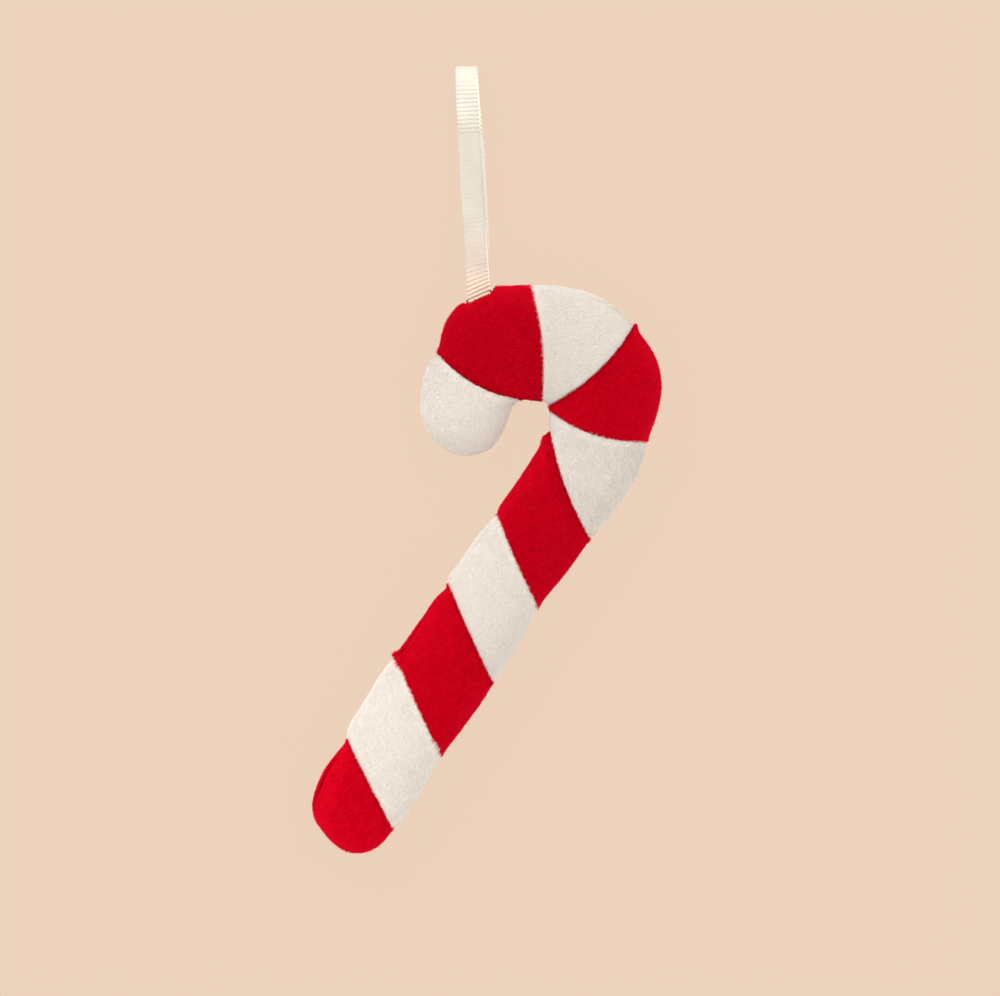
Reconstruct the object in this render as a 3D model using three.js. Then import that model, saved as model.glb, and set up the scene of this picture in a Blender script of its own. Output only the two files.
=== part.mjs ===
// A stuffed plush candy cane with a ribbon loop to hang it by, lying on its back.
// Units are millimetres, +Z is up and +Y is the way that the ribbon leads.
// The origin is under the middle of the cane's outline, on the surface that it lies on.
import * as THREE from 'three';

// ---------- Driving dimensions ----------

const SIDE_SEAM_HEIGHT = 10; // the seam that runs all round the cane, above the surface
const SHAFT_RISE = 10; // from the side seam up to the crest of the shaft
const CROOK_EXTRA_RISE = 2; // the wide crook is stuffed thicker
const CROOK_MIDDLE = 2.7; // where the crook is thickest, in bands from the tip
const CROOK_SPREAD = 1.7; // how many bands the thickening fades over
const UNDERSIDE_DROP = 10.5; // from the side seam down, before the surface flattens it
const SECTION_FULLNESS = 0.9; // 1 is an ellipse, less is squarer

const SEAM_GAP = 0.3; // between two bands
const FURROW_SHARE = 0.07; // how much of the rise a seam between bands takes away
const FURROW_REACH = 2.6; // how far a seam's furrow reaches into a band

const TIP_END = [-6.8, 32.5]; // the far end of the hook
const TOE_END = [-47.6, -73.8]; // the far end of the shaft
const TIP_WIDTH = 25.4; // where the hook's end starts to round off
const TOE_WIDTH = 28; // the same for the toe, measured along its slanted seam

// The ten bands from the hook's tip to the toe. Each gives the points that its edge passes on the
// outer side of the crook, which is the right of the shaft, then those on the inner side. The last
// point of each side is where the seam to the next band ends, and bow is how far the middle of
// that seam swings towards the next band.
const BANDS = [
  {
    name: 'tip_white',
    cloth: 'white',
    outer: [[-14, 36.2], [-18, 42.7], [-18.5, 49], [-17.1, 55.9], [-14.4, 61.8]],
    inner: [[0.9, 34.5], [5.1, 40.2], [7.6, 45.3], [10, 47.9]],
    bow: -2,
  },
  {
    name: 'hook_red',
    cloth: 'red',
    outer: [[-11.1, 70.7], [-5.7, 76.7], [2.8, 80.4], [12.3, 80.9]],
    inner: [[12.5, 48], [15.1, 47.6]],
    bow: 1.8,
  },
  {
    name: 'crown_white',
    cloth: 'white',
    outer: [[22.8, 80.4], [33.6, 75.8], [42.3, 68.5]],
    inner: [[16.2, 47.3], [17.2, 46.6]],
    bow: 2.7,
  },
  {
    name: 'shoulder_red',
    cloth: 'red',
    outer: [[47.6, 61.6], [49.7, 53], [49, 44.5], [46.6, 36.3]],
    inner: [[17.7, 45.3]],
    bow: 2.9,
  },
  {
    name: 'neck_white',
    cloth: 'white',
    outer: [[43, 26.8], [36.8, 17.4], [29.3, 7.7]],
    inner: [[18.2, 42.2], [18, 39]],
    bow: 1.2,
  },
  {
    name: 'upper_red',
    cloth: 'red',
    outer: [[22.5, -1.7], [15.2, -11.1]],
    inner: [[10.8, 28.2], [3.4, 16]],
    bow: 0.5,
  },
  {
    name: 'middle_white',
    cloth: 'white',
    outer: [[8.3, -21.9], [1.1, -33.6]],
    inner: [[-2, 8.8], [-7.1, 2.6], [-10.3, -2.3], [-11.4, -5.4]],
    bow: 0.3,
  },
  {
    name: 'lower_red',
    cloth: 'red',
    outer: [[-5.7, -43.9], [-12.8, -53.6]],
    inner: [[-15.1, -9.1], [-18.4, -14.1], [-22.5, -20], [-26.5, -25.8]],
    bow: -0.2,
  },
  {
    name: 'heel_white',
    cloth: 'white',
    outer: [[-18.2, -63.3], [-23.1, -70.7], [-27.1, -75]],
    inner: [[-31.2, -31.6], [-35.8, -38.2], [-39.8, -45.3], [-40.2, -49.3]],
    bow: 0,
  },
  {
    name: 'toe_red',
    cloth: 'red',
    outer: [[-30.1, -78.2], [-33.9, -80.4], [-38.8, -80.9], [-43.3, -78.7], TOE_END],
    inner: [[-45.9, -58.3], [-49.5, -67.2]],
    bow: 0,
  },
];

const RIBBON_WIDTH = 6.35;
const RIBBON_THICKNESS = 0.8;
const RIBBON_EDGE_BEVEL = 0.2;
const RIBBON_SLANT = 23.5; // degrees, of the seam that the ribbon's two ends are sewn into
const RIBBON_SLANT_REACH = 12; // how far from the seam the slant fades out
const RIBBON_STEPS = 54;

// The middle of the ribbon, out of the seam along the surface, round the loop and back above.
const RIBBON_ROUTE = [
  [-2.1, 79.1, 9.4], [-2.1, 82, 9.1], [-2.3, 86, 7.6], [-2.5, 91, 5.2], [-2.6, 96.5, 2.9],
  [-3.0, 102.5, 1.4], [-3.4, 109, 0.65], [-3.8, 116, 0.5], [-4.3, 123, 0.5], [-4.8, 129.5, 0.6],
  [-5.2, 135.3, 1.0], [-5.4, 139.5, 2.2], [-5.5, 142.3, 4.2], [-5.5, 143.1, 6.6],
  [-5.5, 141.6, 8.9], [-5.45, 138.2, 10.1], [-5.3, 133.8, 10.1], [-5.0, 128, 9.3],
  [-4.75, 121.5, 8.3], [-4.35, 113.8, 7.6], [-3.95, 106, 7.4], [-3.4, 98.5, 8.0],
  [-2.85, 91.5, 9.2], [-2.45, 85.5, 10.2], [-2.1, 79.1, 10.6],
];

// ---------- Finishes ----------

const CLOTHS = {
  red: new THREE.MeshStandardMaterial({ color: '#c4001b', roughness: 0.95, metalness: 0 }),
  white: new THREE.MeshStandardMaterial({ color: '#ebe6dc', roughness: 0.95, metalness: 0 }),
};
const RIBBON_CLOTH = new THREE.MeshStandardMaterial({
  color: '#efe9d8',
  roughness: 0.7,
  metalness: 0,
});

// ---------- The outline and its seams ----------

const toVector = ([x, y, z = 0]) => new THREE.Vector3(x, y, z);

// One closed curve: down the outer side to the toe, and back up the inner side to the tip.
const outerPoints = BANDS.flatMap((band) => band.outer);
const innerPoints = BANDS.flatMap((band) => band.inner);
const outlinePoints = [TIP_END, ...outerPoints, ...innerPoints.toReversed()];
const outline = new THREE.CatmullRomCurve3(outlinePoints.map(toVector), true, 'centripetal');

// The outline's parameter at a point's place in its list.
const outlineAt = (index) => outline.getPoint(index / outlinePoints.length);

// How many points of the outline lie before each band on a side, counted from the tip.
function countsBefore(side) {
  const counts = [0];
  BANDS.forEach((band) => counts.push(counts.at(-1) + band[side].length));
  return counts;
}
const outerCounts = countsBefore('outer');
const innerCounts = countsBefore('inner');

// A band's edge on the outer side, from 0 at its near seam to 1 at its far one.
function outerEdge(number) {
  const [from, to] = [outerCounts[number], outerCounts[number + 1]];
  return (along) => outlineAt(THREE.MathUtils.lerp(from, to, along));
}

// The same on the inner side, where the outline runs the other way. The toe's own ends at TOE_END.
function innerEdge(number) {
  const last = outlinePoints.length;
  const toeEnd = outerCounts.at(-1);
  const from = last - innerCounts[number];
  const to = number === BANDS.length - 1 ? toeEnd : last - innerCounts[number + 1];
  return (along) => outlineAt(THREE.MathUtils.lerp(from, to, along));
}

// The line across the cane after a band, from its outer end to its inner one, moved by shift
// towards the toe.
function seamAfter(number, shift) {
  if (number < 0) return () => toVector(TIP_END);
  if (number === BANDS.length - 1) return () => toVector(TOE_END);
  const start = toVector(BANDS[number].outer.at(-1));
  const end = toVector(BANDS[number].inner.at(-1));
  const towardsToe = (direction) => new THREE.Vector3(-direction.y, direction.x, 0).normalize();
  const chord = end.clone().sub(start);
  const middle = start.clone().add(end).multiplyScalar(0.5);
  middle.addScaledVector(towardsToe(chord), 2 * BANDS[number].bow);
  const line = new THREE.QuadraticBezierCurve3(start, middle, end);
  return (across) => line.getPoint(across).addScaledVector(towardsToe(line.getTangent(across)), shift);
}

const blend = (a, b, share) => a.clone().lerp(b, share);

// The plan of one band: a point for each place along it and across it, both from 0 to 1.
function bandPlan(number) {
  const near = seamAfter(number - 1, SEAM_GAP / 2);
  const far = seamAfter(number, -SEAM_GAP / 2);
  const trimmed = (edge, across) => {
    const nearStep = near(across).sub(edge(0));
    const farStep = far(across).sub(edge(1));
    return (along) => edge(along).addScaledVector(nearStep, 1 - along).addScaledVector(farStep, along);
  };
  const outer = trimmed(outerEdge(number), 0);
  const inner = trimmed(innerEdge(number), 1);
  return (along, across) => {
    const fromSides = blend(outer(along), inner(along), across);
    const fromSeams = blend(near(across), far(across), along);
    const corners = blend(
      blend(near(0), far(0), along),
      blend(near(1), far(1), along),
      across,
    );
    return fromSides.add(fromSeams).sub(corners);
  };
}

// ---------- The stuffed bands ----------

const ACROSS_STEPS = 12; // over the top of a section, and as many under it
const BAND_STATIONS = [0, 0.05, 0.13, 0.25, 0.38, 0.5, 0.62, 0.75, 0.87, 0.95, 1];

// How much lower the cloth lies beside the seams between bands, as a share of its height.
function furrow(number, along, length) {
  const dip = (distance) => FURROW_SHARE * Math.exp(-((distance / FURROW_REACH) ** 2));
  const nearDip = number > 0 ? dip(along * length) : 0;
  const farDip = number < BANDS.length - 1 ? dip((1 - along) * length) : 0;
  return 1 - nearDip - farDip;
}

// The height of the crest above the side seam, before the ends round off.
function crestRise(bandsFromTip) {
  const away = (bandsFromTip - CROOK_MIDDLE) / CROOK_SPREAD;
  return SHAFT_RISE + CROOK_EXTRA_RISE * Math.exp(-(away ** 2));
}

// How much of its height a section keeps where the tip and the toe round off.
function endRounding(number, width) {
  if (number === 0) return Math.min(1, width / TIP_WIDTH);
  if (number === BANDS.length - 1) return Math.min(1, width / TOE_WIDTH);
  return 1;
}

// One closed section: from the outer edge over the top to the inner edge, and back underneath.
function section(number, plan, along) {
  const width = plan(along, 0).distanceTo(plan(along, 1));
  const rounding = endRounding(number, width);
  const ring = [];
  for (let step = 0; step < 2 * ACROSS_STEPS; step += 1) {
    const angle = (Math.PI * step) / ACROSS_STEPS;
    const across = (1 - Math.cos(angle)) / 2;
    const point = plan(along, across);
    const length = plan(0, across).distanceTo(plan(1, across));
    const fullness = Math.abs(Math.sin(angle)) ** SECTION_FULLNESS;
    const share = rounding * fullness * furrow(number, along, length);
    const isTop = step <= ACROSS_STEPS;
    const rise = isTop ? crestRise(number + along) : -UNDERSIDE_DROP;
    point.z = Math.max(0, SIDE_SEAM_HEIGHT + rise * share);
    ring.push(point);
  }
  return ring;
}

// The two triangles for each step of a flat end, between the top and the underside of a section.
function endFaces(first) {
  const faces = [];
  const top = (step) => first + step;
  const under = (step) => first + ((2 * ACROSS_STEPS - step) % (2 * ACROSS_STEPS));
  for (let step = 0; step < ACROSS_STEPS; step += 1) {
    if (step < ACROSS_STEPS - 1) faces.push([top(step), top(step + 1), under(step + 1)]);
    if (step > 0) faces.push([top(step), under(step + 1), under(step)]);
  }
  return faces;
}

const reversed = (faces) => faces.map(([a, b, c]) => [a, c, b]);

// A closed skin over the sections. The tip and the toe close on a single point instead of an end.
function bandGeometry(number) {
  const plan = bandPlan(number);
  const isTip = number === 0;
  const isToe = number === BANDS.length - 1;
  const stations = BAND_STATIONS.slice(isTip ? 1 : 0, isToe ? -1 : undefined);
  const points = stations.flatMap((along) => section(number, plan, along));
  const ringSize = 2 * ACROSS_STEPS;
  const lastRing = (stations.length - 1) * ringSize;
  const faces = [];
  for (let ring = 0; ring < lastRing; ring += ringSize) {
    for (let step = 0; step < ringSize; step += 1) {
      const next = (step + 1) % ringSize;
      faces.push([ring + step, ring + next, ring + ringSize + next]);
      faces.push([ring + step, ring + ringSize + next, ring + ringSize + step]);
    }
  }
  for (let step = 0; step < ringSize; step += 1) {
    const next = (step + 1) % ringSize;
    if (isTip) faces.push([points.length, next, step]);
    if (isToe) faces.push([lastRing + step, lastRing + next, points.length]);
  }
  if (isTip) points.push(toVector([...TIP_END, SIDE_SEAM_HEIGHT]));
  if (isToe) points.push(toVector([...TOE_END, SIDE_SEAM_HEIGHT]));
  if (!isTip) faces.push(...reversed(endFaces(0)));
  if (!isToe) faces.push(...endFaces(lastRing));
  const geometry = new THREE.BufferGeometry().setFromPoints(points);
  geometry.setIndex(faces.flat());
  geometry.computeVertexNormals();
  return geometry;
}

function makeBand(band, number) {
  const mesh = new THREE.Mesh(bandGeometry(number), CLOTHS[band.cloth]);
  mesh.name = band.name;
  return mesh;
}

// ---------- The ribbon loop ----------

// A flat strip's section with its long edges bevelled: its width lies along X.
function ribbonSection() {
  const [halfWidth, halfThickness] = [RIBBON_WIDTH / 2, RIBBON_THICKNESS / 2];
  const corner = [halfWidth - RIBBON_EDGE_BEVEL, halfThickness - RIBBON_EDGE_BEVEL];
  const shape = new THREE.Shape();
  shape.moveTo(halfWidth, -corner[1]);
  shape.lineTo(halfWidth, corner[1]);
  shape.lineTo(corner[0], halfThickness);
  shape.lineTo(-corner[0], halfThickness);
  shape.lineTo(-halfWidth, corner[1]);
  shape.lineTo(-halfWidth, -corner[1]);
  shape.lineTo(-corner[0], -halfThickness);
  shape.lineTo(corner[0], -halfThickness);
  shape.closePath();
  return shape;
}

// Slides the strip's cloth along itself near the cane, so that its ends follow the slanted seam.
function slantEnds(geometry, seamPoint) {
  const places = geometry.getAttribute('position');
  const slope = Math.tan(THREE.MathUtils.degToRad(RIBBON_SLANT));
  for (let index = 0; index < places.count; index += 1) {
    const away = places.getY(index) - seamPoint.y;
    const share = THREE.MathUtils.clamp(1 - away / RIBBON_SLANT_REACH, 0, 1);
    const side = places.getX(index) - seamPoint.x;
    places.setY(index, places.getY(index) + side * slope * share);
  }
  return geometry;
}

function makeRibbonLoop() {
  const route = RIBBON_ROUTE.map(toVector);
  const path = new THREE.CatmullRomCurve3(route, false, 'centripetal');
  const strip = new THREE.ExtrudeGeometry(ribbonSection(), {
    steps: RIBBON_STEPS,
    extrudePath: path,
  });
  const mesh = new THREE.Mesh(slantEnds(strip, route[0]), RIBBON_CLOTH);
  mesh.name = 'ribbon_loop';
  return mesh;
}

// ---------- The whole ornament ----------

const group = new THREE.Group();
group.add(...BANDS.map(makeBand), makeRibbonLoop());

export default group;
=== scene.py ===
"""Dresses a stuffed plush candy cane: sewn bands of short pile cloth and a grosgrain ribbon loop.

The cane lies on its back on a plain pale floor and the camera looks straight down on it. All
lengths are in metres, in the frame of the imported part: +Z is up and +Y is the way the ribbon leads.
"""

from __future__ import annotations

import logging
import math
from dataclasses import dataclass, field
from enum import Enum
from typing import Any, Iterable, Sequence

import bmesh
import bpy
import numpy as np
from mathutils import Matrix

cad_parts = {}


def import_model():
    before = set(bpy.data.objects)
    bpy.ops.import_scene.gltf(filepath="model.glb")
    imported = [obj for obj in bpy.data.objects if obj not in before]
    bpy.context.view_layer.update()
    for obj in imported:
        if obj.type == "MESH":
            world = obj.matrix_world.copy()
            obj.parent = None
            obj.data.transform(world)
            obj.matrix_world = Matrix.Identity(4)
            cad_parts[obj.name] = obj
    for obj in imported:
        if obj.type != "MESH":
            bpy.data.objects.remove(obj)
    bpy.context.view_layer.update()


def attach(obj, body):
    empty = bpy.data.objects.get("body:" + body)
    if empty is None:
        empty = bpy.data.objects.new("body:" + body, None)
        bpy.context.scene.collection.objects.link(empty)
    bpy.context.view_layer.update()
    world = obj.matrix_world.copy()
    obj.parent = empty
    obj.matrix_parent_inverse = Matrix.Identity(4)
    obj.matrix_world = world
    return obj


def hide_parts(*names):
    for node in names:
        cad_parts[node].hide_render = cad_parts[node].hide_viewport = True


log = logging.getLogger("candy_cane")

MM = 0.001
BODY = "root"
SEED = 24

Colour = tuple[float, float, float]
Point = tuple[float, float]
Socket = bpy.types.NodeSocket


# ---------- Small tools ----------


def unit(vectors: np.ndarray) -> np.ndarray:
    """Scales each vector to length one.

    Args:
        vectors: An array whose last axis holds the vectors.

    Returns:
        The same array with unit vectors.
    """
    length = np.linalg.norm(vectors, axis=-1, keepdims=True)
    return vectors / np.maximum(length, 1e-12)


def plan(points: Iterable[Point]) -> np.ndarray:
    """Turns plan points in millimetres into metres, one row per point."""
    return np.array(list(points), float) * MM


def swell(distance: np.ndarray, reach: float) -> np.ndarray:
    """A bump that is 1 at no distance and fades out beyond the reach."""
    return np.exp(-((distance / reach) ** 2))


def hermite(
    start: np.ndarray, leave: np.ndarray, end: np.ndarray, arrive: np.ndarray, share: np.ndarray
) -> np.ndarray:
    """Blends from one point to the next on a smooth curve.

    Args:
        start: The first point.
        leave: The curve's slope there.
        end: The next point.
        arrive: The curve's slope there.
        share: How far along, from 0 to 1.

    Returns:
        The points.
    """
    square, cube = share**2, share**3
    return (
        start * (2 * cube - 3 * square + 1)
        + leave * (cube - 2 * square + share)
        + end * (3 * square - 2 * cube)
        + arrive * (cube - square)
    )


def vectors_of(items: Any, name: str) -> np.ndarray:
    """Reads one vector from each item of a Blender collection.

    Args:
        items: The collection.
        name: The vector's name.

    Returns:
        One row per item.
    """
    flat = np.zeros(len(items) * 3, np.float32)
    items.foreach_get(name, flat)
    return flat.reshape(-1, 3)


def linked(name: str, data: Any) -> bpy.types.Object:
    """Makes an object of a mesh, a light or a camera and links it to the scene.

    Args:
        name: The object's name.
        data: What it shows.

    Returns:
        The object, at the origin.
    """
    obj = bpy.data.objects.new(name, data)
    bpy.context.scene.collection.objects.link(obj)
    return obj


def close_up(mesh: bpy.types.Mesh, merge: float) -> None:
    """Merges a mesh's doubles, turns its faces outward and shades it smooth.

    Args:
        mesh: The mesh.
        merge: How close doubles lie.
    """
    shape = bmesh.new()
    shape.from_mesh(mesh)
    bmesh.ops.remove_doubles(shape, verts=shape.verts, dist=merge)
    bmesh.ops.dissolve_degenerate(shape, edges=shape.edges, dist=merge / 10)
    bmesh.ops.recalc_face_normals(shape, faces=shape.faces)
    shape.to_mesh(mesh)
    shape.free()
    mesh.shade_smooth()


def mesh_object(name: str, points: np.ndarray, faces: Sequence[Sequence[int]]) -> bpy.types.Object:
    """Makes a smooth shaded closed mesh object at the origin.

    Args:
        name: The object's name.
        points: One row per vertex.
        faces: Vertex numbers of each face.

    Returns:
        The new object, linked to the scene.
    """
    mesh = bpy.data.meshes.new(name)
    mesh.from_pydata(points.tolist(), [], [list(face) for face in faces])
    mesh.validate()
    close_up(mesh, 1e-7)
    return linked(name, mesh)


def paint(colour: Colour, light: float = 1.0) -> tuple[float, ...]:
    """A colour times a light, with its alpha."""
    return (*(channel * light for channel in colour), 1)


def principled(name: str, inputs: dict[str, Any]) -> bpy.types.Material:
    """Makes a material with one Principled BSDF.

    Args:
        name: The material's name.
        inputs: The shader's values by name.

    Returns:
        The material.
    """
    material = bpy.data.materials.new(name)
    material.use_nodes = True
    shader = material.node_tree.nodes["Principled BSDF"]
    for label, value in inputs.items():
        shader.inputs[label].default_value = value
    return material


class NodeSheet:
    """Adds nodes to one node tree and wires them."""

    def __init__(self, tree: bpy.types.NodeTree) -> None:
        """Starts on a tree."""
        self.tree = tree
        self.count = 0

    def add(
        self, kind: str, inputs: dict[str, Any] | None = None, **settings: Any
    ) -> bpy.types.Node:
        """Adds one node.

        Args:
            kind: The node's type.
            inputs: A value or a socket for each input, by its identifier or its name.
            settings: The node's own properties.

        Returns:
            The new node.
        """
        node = self.tree.nodes.new(kind)
        node.location = (200 * (self.count % 12), -260 * (self.count // 12))
        self.count += 1
        for name, value in settings.items():
            setattr(node, name, value)
        for name, value in (inputs or {}).items():
            self.feed(self.pick(node.inputs, name), value)
        return node

    def out(
        self, kind: str, output: str, inputs: dict[str, Any] | None = None, **settings: Any
    ) -> Socket:
        """Adds one node and gives one of its outputs.

        Args:
            kind: The node's type.
            output: The output's identifier or name.
            inputs: A value or a socket for each input.
            settings: The node's own properties.

        Returns:
            The output.
        """
        return self.pick(self.add(kind, inputs, **settings).outputs, output)

    @staticmethod
    def pick(sockets: Any, name: str) -> Socket:
        """Finds a socket by its identifier, or else by its name.

        Args:
            sockets: A node's inputs or outputs.
            name: The identifier or name.

        Returns:
            The socket.
        """
        for socket in sockets:
            if socket.identifier == name:
                return socket
        return sockets[name]

    def feed(self, socket: Socket, value: Any) -> None:
        """Gives an input a value, or a link if the value is a socket.

        Args:
            socket: The input.
            value: A constant or another node's output.
        """
        if isinstance(value, bpy.types.NodeSocket):
            self.tree.links.new(value, socket)
        else:
            socket.default_value = value

    def chance(self, low: float, high: float, seed: Any) -> Socket:
        """A random number for each point.

        Args:
            low: The least value.
            high: The greatest value.
            seed: Its seed, a number or a socket.

        Returns:
            The number.
        """
        inputs = {"Min_001": low, "Max_001": high, "Seed": seed}
        return self.out("FunctionNodeRandomValue", "Value_001", inputs, data_type="FLOAT")

    def math(self, operation: str, first: Any, second: Any = 0.0) -> Socket:
        """Adds a Math node.

        Args:
            operation: Its operation.
            first: Its first value or socket.
            second: Its second value or socket.

        Returns:
            Its output.
        """
        node = self.add("ShaderNodeMath", operation=operation)
        self.feed(node.inputs[0], first)
        self.feed(node.inputs[1], second)
        return node.outputs[0]

    def times(self, first: Any, *others: Any) -> Socket:
        """Multiplies values or sockets one after the other."""
        for other in others:
            first = self.math("MULTIPLY", first, other)
        return first

    def vector(self, operation: str, first: Any, second: Any) -> Socket:
        """Adds a Vector Math node whose result is a vector.

        Args:
            operation: Its operation. SCALE takes a number as its second value.
            first: Its first vector or socket.
            second: Its second vector, number or socket.

        Returns:
            Its output.
        """
        node = self.add("ShaderNodeVectorMath", operation=operation)
        self.feed(node.inputs[0], first)
        self.feed(node.inputs["Scale"] if operation == "SCALE" else node.inputs[1], second)
        return node.outputs[0]

    def axis(self, place: Socket, name: str) -> Socket:
        """One coordinate of a vector, X, Y or Z."""
        return self.out("ShaderNodeSeparateXYZ", name, {"Vector": place})

    def span(
        self,
        value: Any,
        start: float,
        stop: float,
        low: Any = 0.0,
        high: Any = 1.0,
        kind: str = "LINEAR",
    ) -> Socket:
        """Maps a value from one range to another and clamps it.

        Args:
            value: The value.
            start: Where the range starts.
            stop: Where it stops.
            low: The result at the start.
            high: The result at the stop.
            kind: How it goes from one to the other.

        Returns:
            The result.
        """
        ends = {"From Min": start, "From Max": stop, "To Min": low, "To Max": high}
        inputs = {"Value": value, **ends}
        return self.out("ShaderNodeMapRange", "Result", inputs, interpolation_type=kind)

    def noise(self, place: Socket, scale: Any, detail: float) -> Socket:
        """A cloudy number between 0 and 1.

        Args:
            place: Where.
            scale: How fine it is.
            detail: How many finer layers it has.

        Returns:
            The number.
        """
        inputs = {"Vector": place, "Scale": scale, "Detail": detail}
        return self.out("ShaderNodeTexNoise", "Fac", inputs)

    def surface(self, colour: Socket, height: Socket, strength: float, distance: float) -> None:
        """Gives the material's shader its colour and its relief.

        Args:
            colour: The colour.
            height: The height of the relief.
            strength: How strong the relief is.
            distance: How high it is.
        """
        shader = self.tree.nodes["Principled BSDF"]
        inputs = {"Strength": strength, "Distance": distance, "Height": height}
        self.feed(shader.inputs["Base Color"], colour)
        self.feed(shader.inputs["Normal"], self.out("ShaderNodeBump", "Normal", inputs))


class GeometryTree(NodeSheet):
    """A Geometry Nodes tree with named inputs that makes a plain mesh."""

    KINDS = {float: "NodeSocketFloat", int: "NodeSocketInt", type(None): "NodeSocketMaterial"}

    def __init__(self, name: str, inputs: dict[str, float | int | None]) -> None:
        """Builds the empty tree and its interface.

        Args:
            name: The tree's name.
            inputs: For each input's name its default value, or nothing for a material.
        """
        super().__init__(bpy.data.node_groups.new(name, "GeometryNodeTree"))
        face = self.tree.interface
        face.new_socket("Geometry", in_out="INPUT", socket_type="NodeSocketGeometry")
        self.identifiers: dict[str, str] = {}
        for label, default in inputs.items():
            kind = self.KINDS[type(default)]
            socket = face.new_socket(label, in_out="INPUT", socket_type=kind)
            if default is not None:
                socket.default_value = default
            self.identifiers[label] = socket.identifier
        face.new_socket("Geometry", in_out="OUTPUT", socket_type="NodeSocketGeometry")
        self.given = self.add("NodeGroupInput").outputs

    def attribute(self, name: str, kind: str = "FLOAT") -> Socket:
        """Reads a named attribute."""
        node = self.add("GeometryNodeInputNamedAttribute", {"Name": name}, data_type=kind)
        return node.outputs["Attribute"]

    def place(self) -> Socket:
        """Where each point is."""
        return self.out("GeometryNodeInputPosition", "Position")

    def seed(self, number: int) -> Socket:
        """The tree's seed moved on by a number, so that each chance is its own."""
        return self.math("ADD", self.given["Seed"], number)

    def store(self, geometry: Socket, name: str, value: Any, kind: str = "FLOAT") -> Socket:
        """Stores a named attribute on points.

        Args:
            geometry: The points.
            name: The attribute's name.
            value: The socket that gives it.
            kind: Its data type.

        Returns:
            The points with the attribute.
        """
        inputs = {"Geometry": geometry, "Name": name}
        settings = {"data_type": kind, "domain": "POINT"}
        node = self.add("GeometryNodeStoreNamedAttribute", inputs, **settings)
        self.feed(node.inputs["Value"], value)
        return node.outputs["Geometry"]

    def dye(self, geometry: Socket, label: str, chosen: Any = True) -> Socket:
        """Gives faces the material of one of the tree's inputs.

        Args:
            geometry: The mesh.
            label: The input's name.
            chosen: Which faces.

        Returns:
            The mesh with its material.
        """
        inputs = {"Geometry": geometry, "Selection": chosen, "Material": self.given[label]}
        return self.out("GeometryNodeSetMaterial", "Geometry", inputs)

    def run(self, obj: bpy.types.Object, values: dict[str, Any]) -> None:
        """Runs the tree on an object and leaves a plain mesh.

        Args:
            obj: The object.
            values: Values for the tree's named inputs.
        """
        modifier = obj.modifiers.new(self.tree.name, "NODES")
        modifier.node_group = self.tree
        for label, value in values.items():
            modifier[self.identifiers[label]] = value
        graph = bpy.context.evaluated_depsgraph_get()
        mesh = bpy.data.meshes.new_from_object(
            obj.evaluated_get(graph), preserve_all_data_layers=True, depsgraph=graph
        )
        obj.modifiers.clear()
        obj.data = mesh
        mesh.name = obj.name


# ---------- The camera, the floor and the light ----------


@dataclass(frozen=True)
class Studio:
    """A camera straight above the cane, a plain floor and soft light."""

    aim: Point = (3.99 * MM, 19.95 * MM)
    focus_height: float = 10 * MM
    camera_distance: float = 1.2
    frame_width: float = 285 * MM
    sensor: float = 36.0
    nearest: float = 0.01
    farthest: float = 20.0
    floor_size: float = 6.0
    floor_colour: Colour = (0.847, 0.651, 0.503)
    floor_glow: float = 0.95
    floor_reflectance: float = 0.03
    world_colour: Colour = (1.0, 0.98, 0.965)
    world_strength: float = 1.35
    key_place: tuple[float, float, float] = (-0.45, 0.7, 1.0)
    key_size: float = 0.9
    key_power: float = 6.5

    def place_camera(self) -> None:
        """Creates the camera, looking straight down with +Y at the top of the picture."""
        lens = bpy.data.cameras.new("camera")
        lens.sensor_fit = "HORIZONTAL"
        lens.sensor_width = self.sensor
        lens.lens = self.sensor * self.camera_distance / self.frame_width
        lens.clip_start = self.nearest
        lens.clip_end = self.farthest
        camera = linked("camera", lens)
        camera.location = (*self.aim, self.focus_height + self.camera_distance)
        bpy.context.scene.camera = camera

    def lay_floor(self) -> None:
        """Lays the pale floor, which is evenly bright and takes only a faint shadow."""
        half = self.floor_size / 2
        corners = [(-half, -half, 0), (half, -half, 0), (half, half, 0), (-half, half, 0)]
        mesh = bpy.data.meshes.new("floor")
        mesh.from_pydata(corners, [], [[0, 1, 2, 3]])
        looks = {
            "Base Color": paint(self.floor_colour, self.floor_reflectance),
            "Roughness": 1.0,
            "Specular IOR Level": 0.0,
            "Emission Color": paint(self.floor_colour),
            "Emission Strength": self.floor_glow,
        }
        mesh.materials.append(principled("pale_floor", looks))
        linked("floor", mesh)

    def hang_lights(self) -> None:
        """Lights the scene evenly from all round and softly from the upper left."""
        world = bpy.data.worlds.new("soft_room")
        world.use_nodes = True
        background = world.node_tree.nodes["Background"]
        background.inputs["Color"].default_value = paint(self.world_colour)
        background.inputs["Strength"].default_value = self.world_strength
        bpy.context.scene.world = world
        light = bpy.data.lights.new("key", "AREA")
        light.shape = "DISK"
        light.size = self.key_size
        light.energy = self.key_power
        key = linked("key", light)
        key.location = self.key_place
        across, ahead, down = np.array([*self.aim, 0.0]) - np.array(self.key_place)
        tilt = math.acos(-down / np.linalg.norm([across, ahead, down]))
        key.rotation_euler = (tilt, 0, math.atan2(-across, ahead))
        bpy.context.scene.view_settings.view_transform = "Standard"


# ---------- Finishes ----------


class Cloth(Enum):
    """The two plush cloths that the bands are cut from."""

    RED = "red"
    WHITE = "white"


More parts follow.
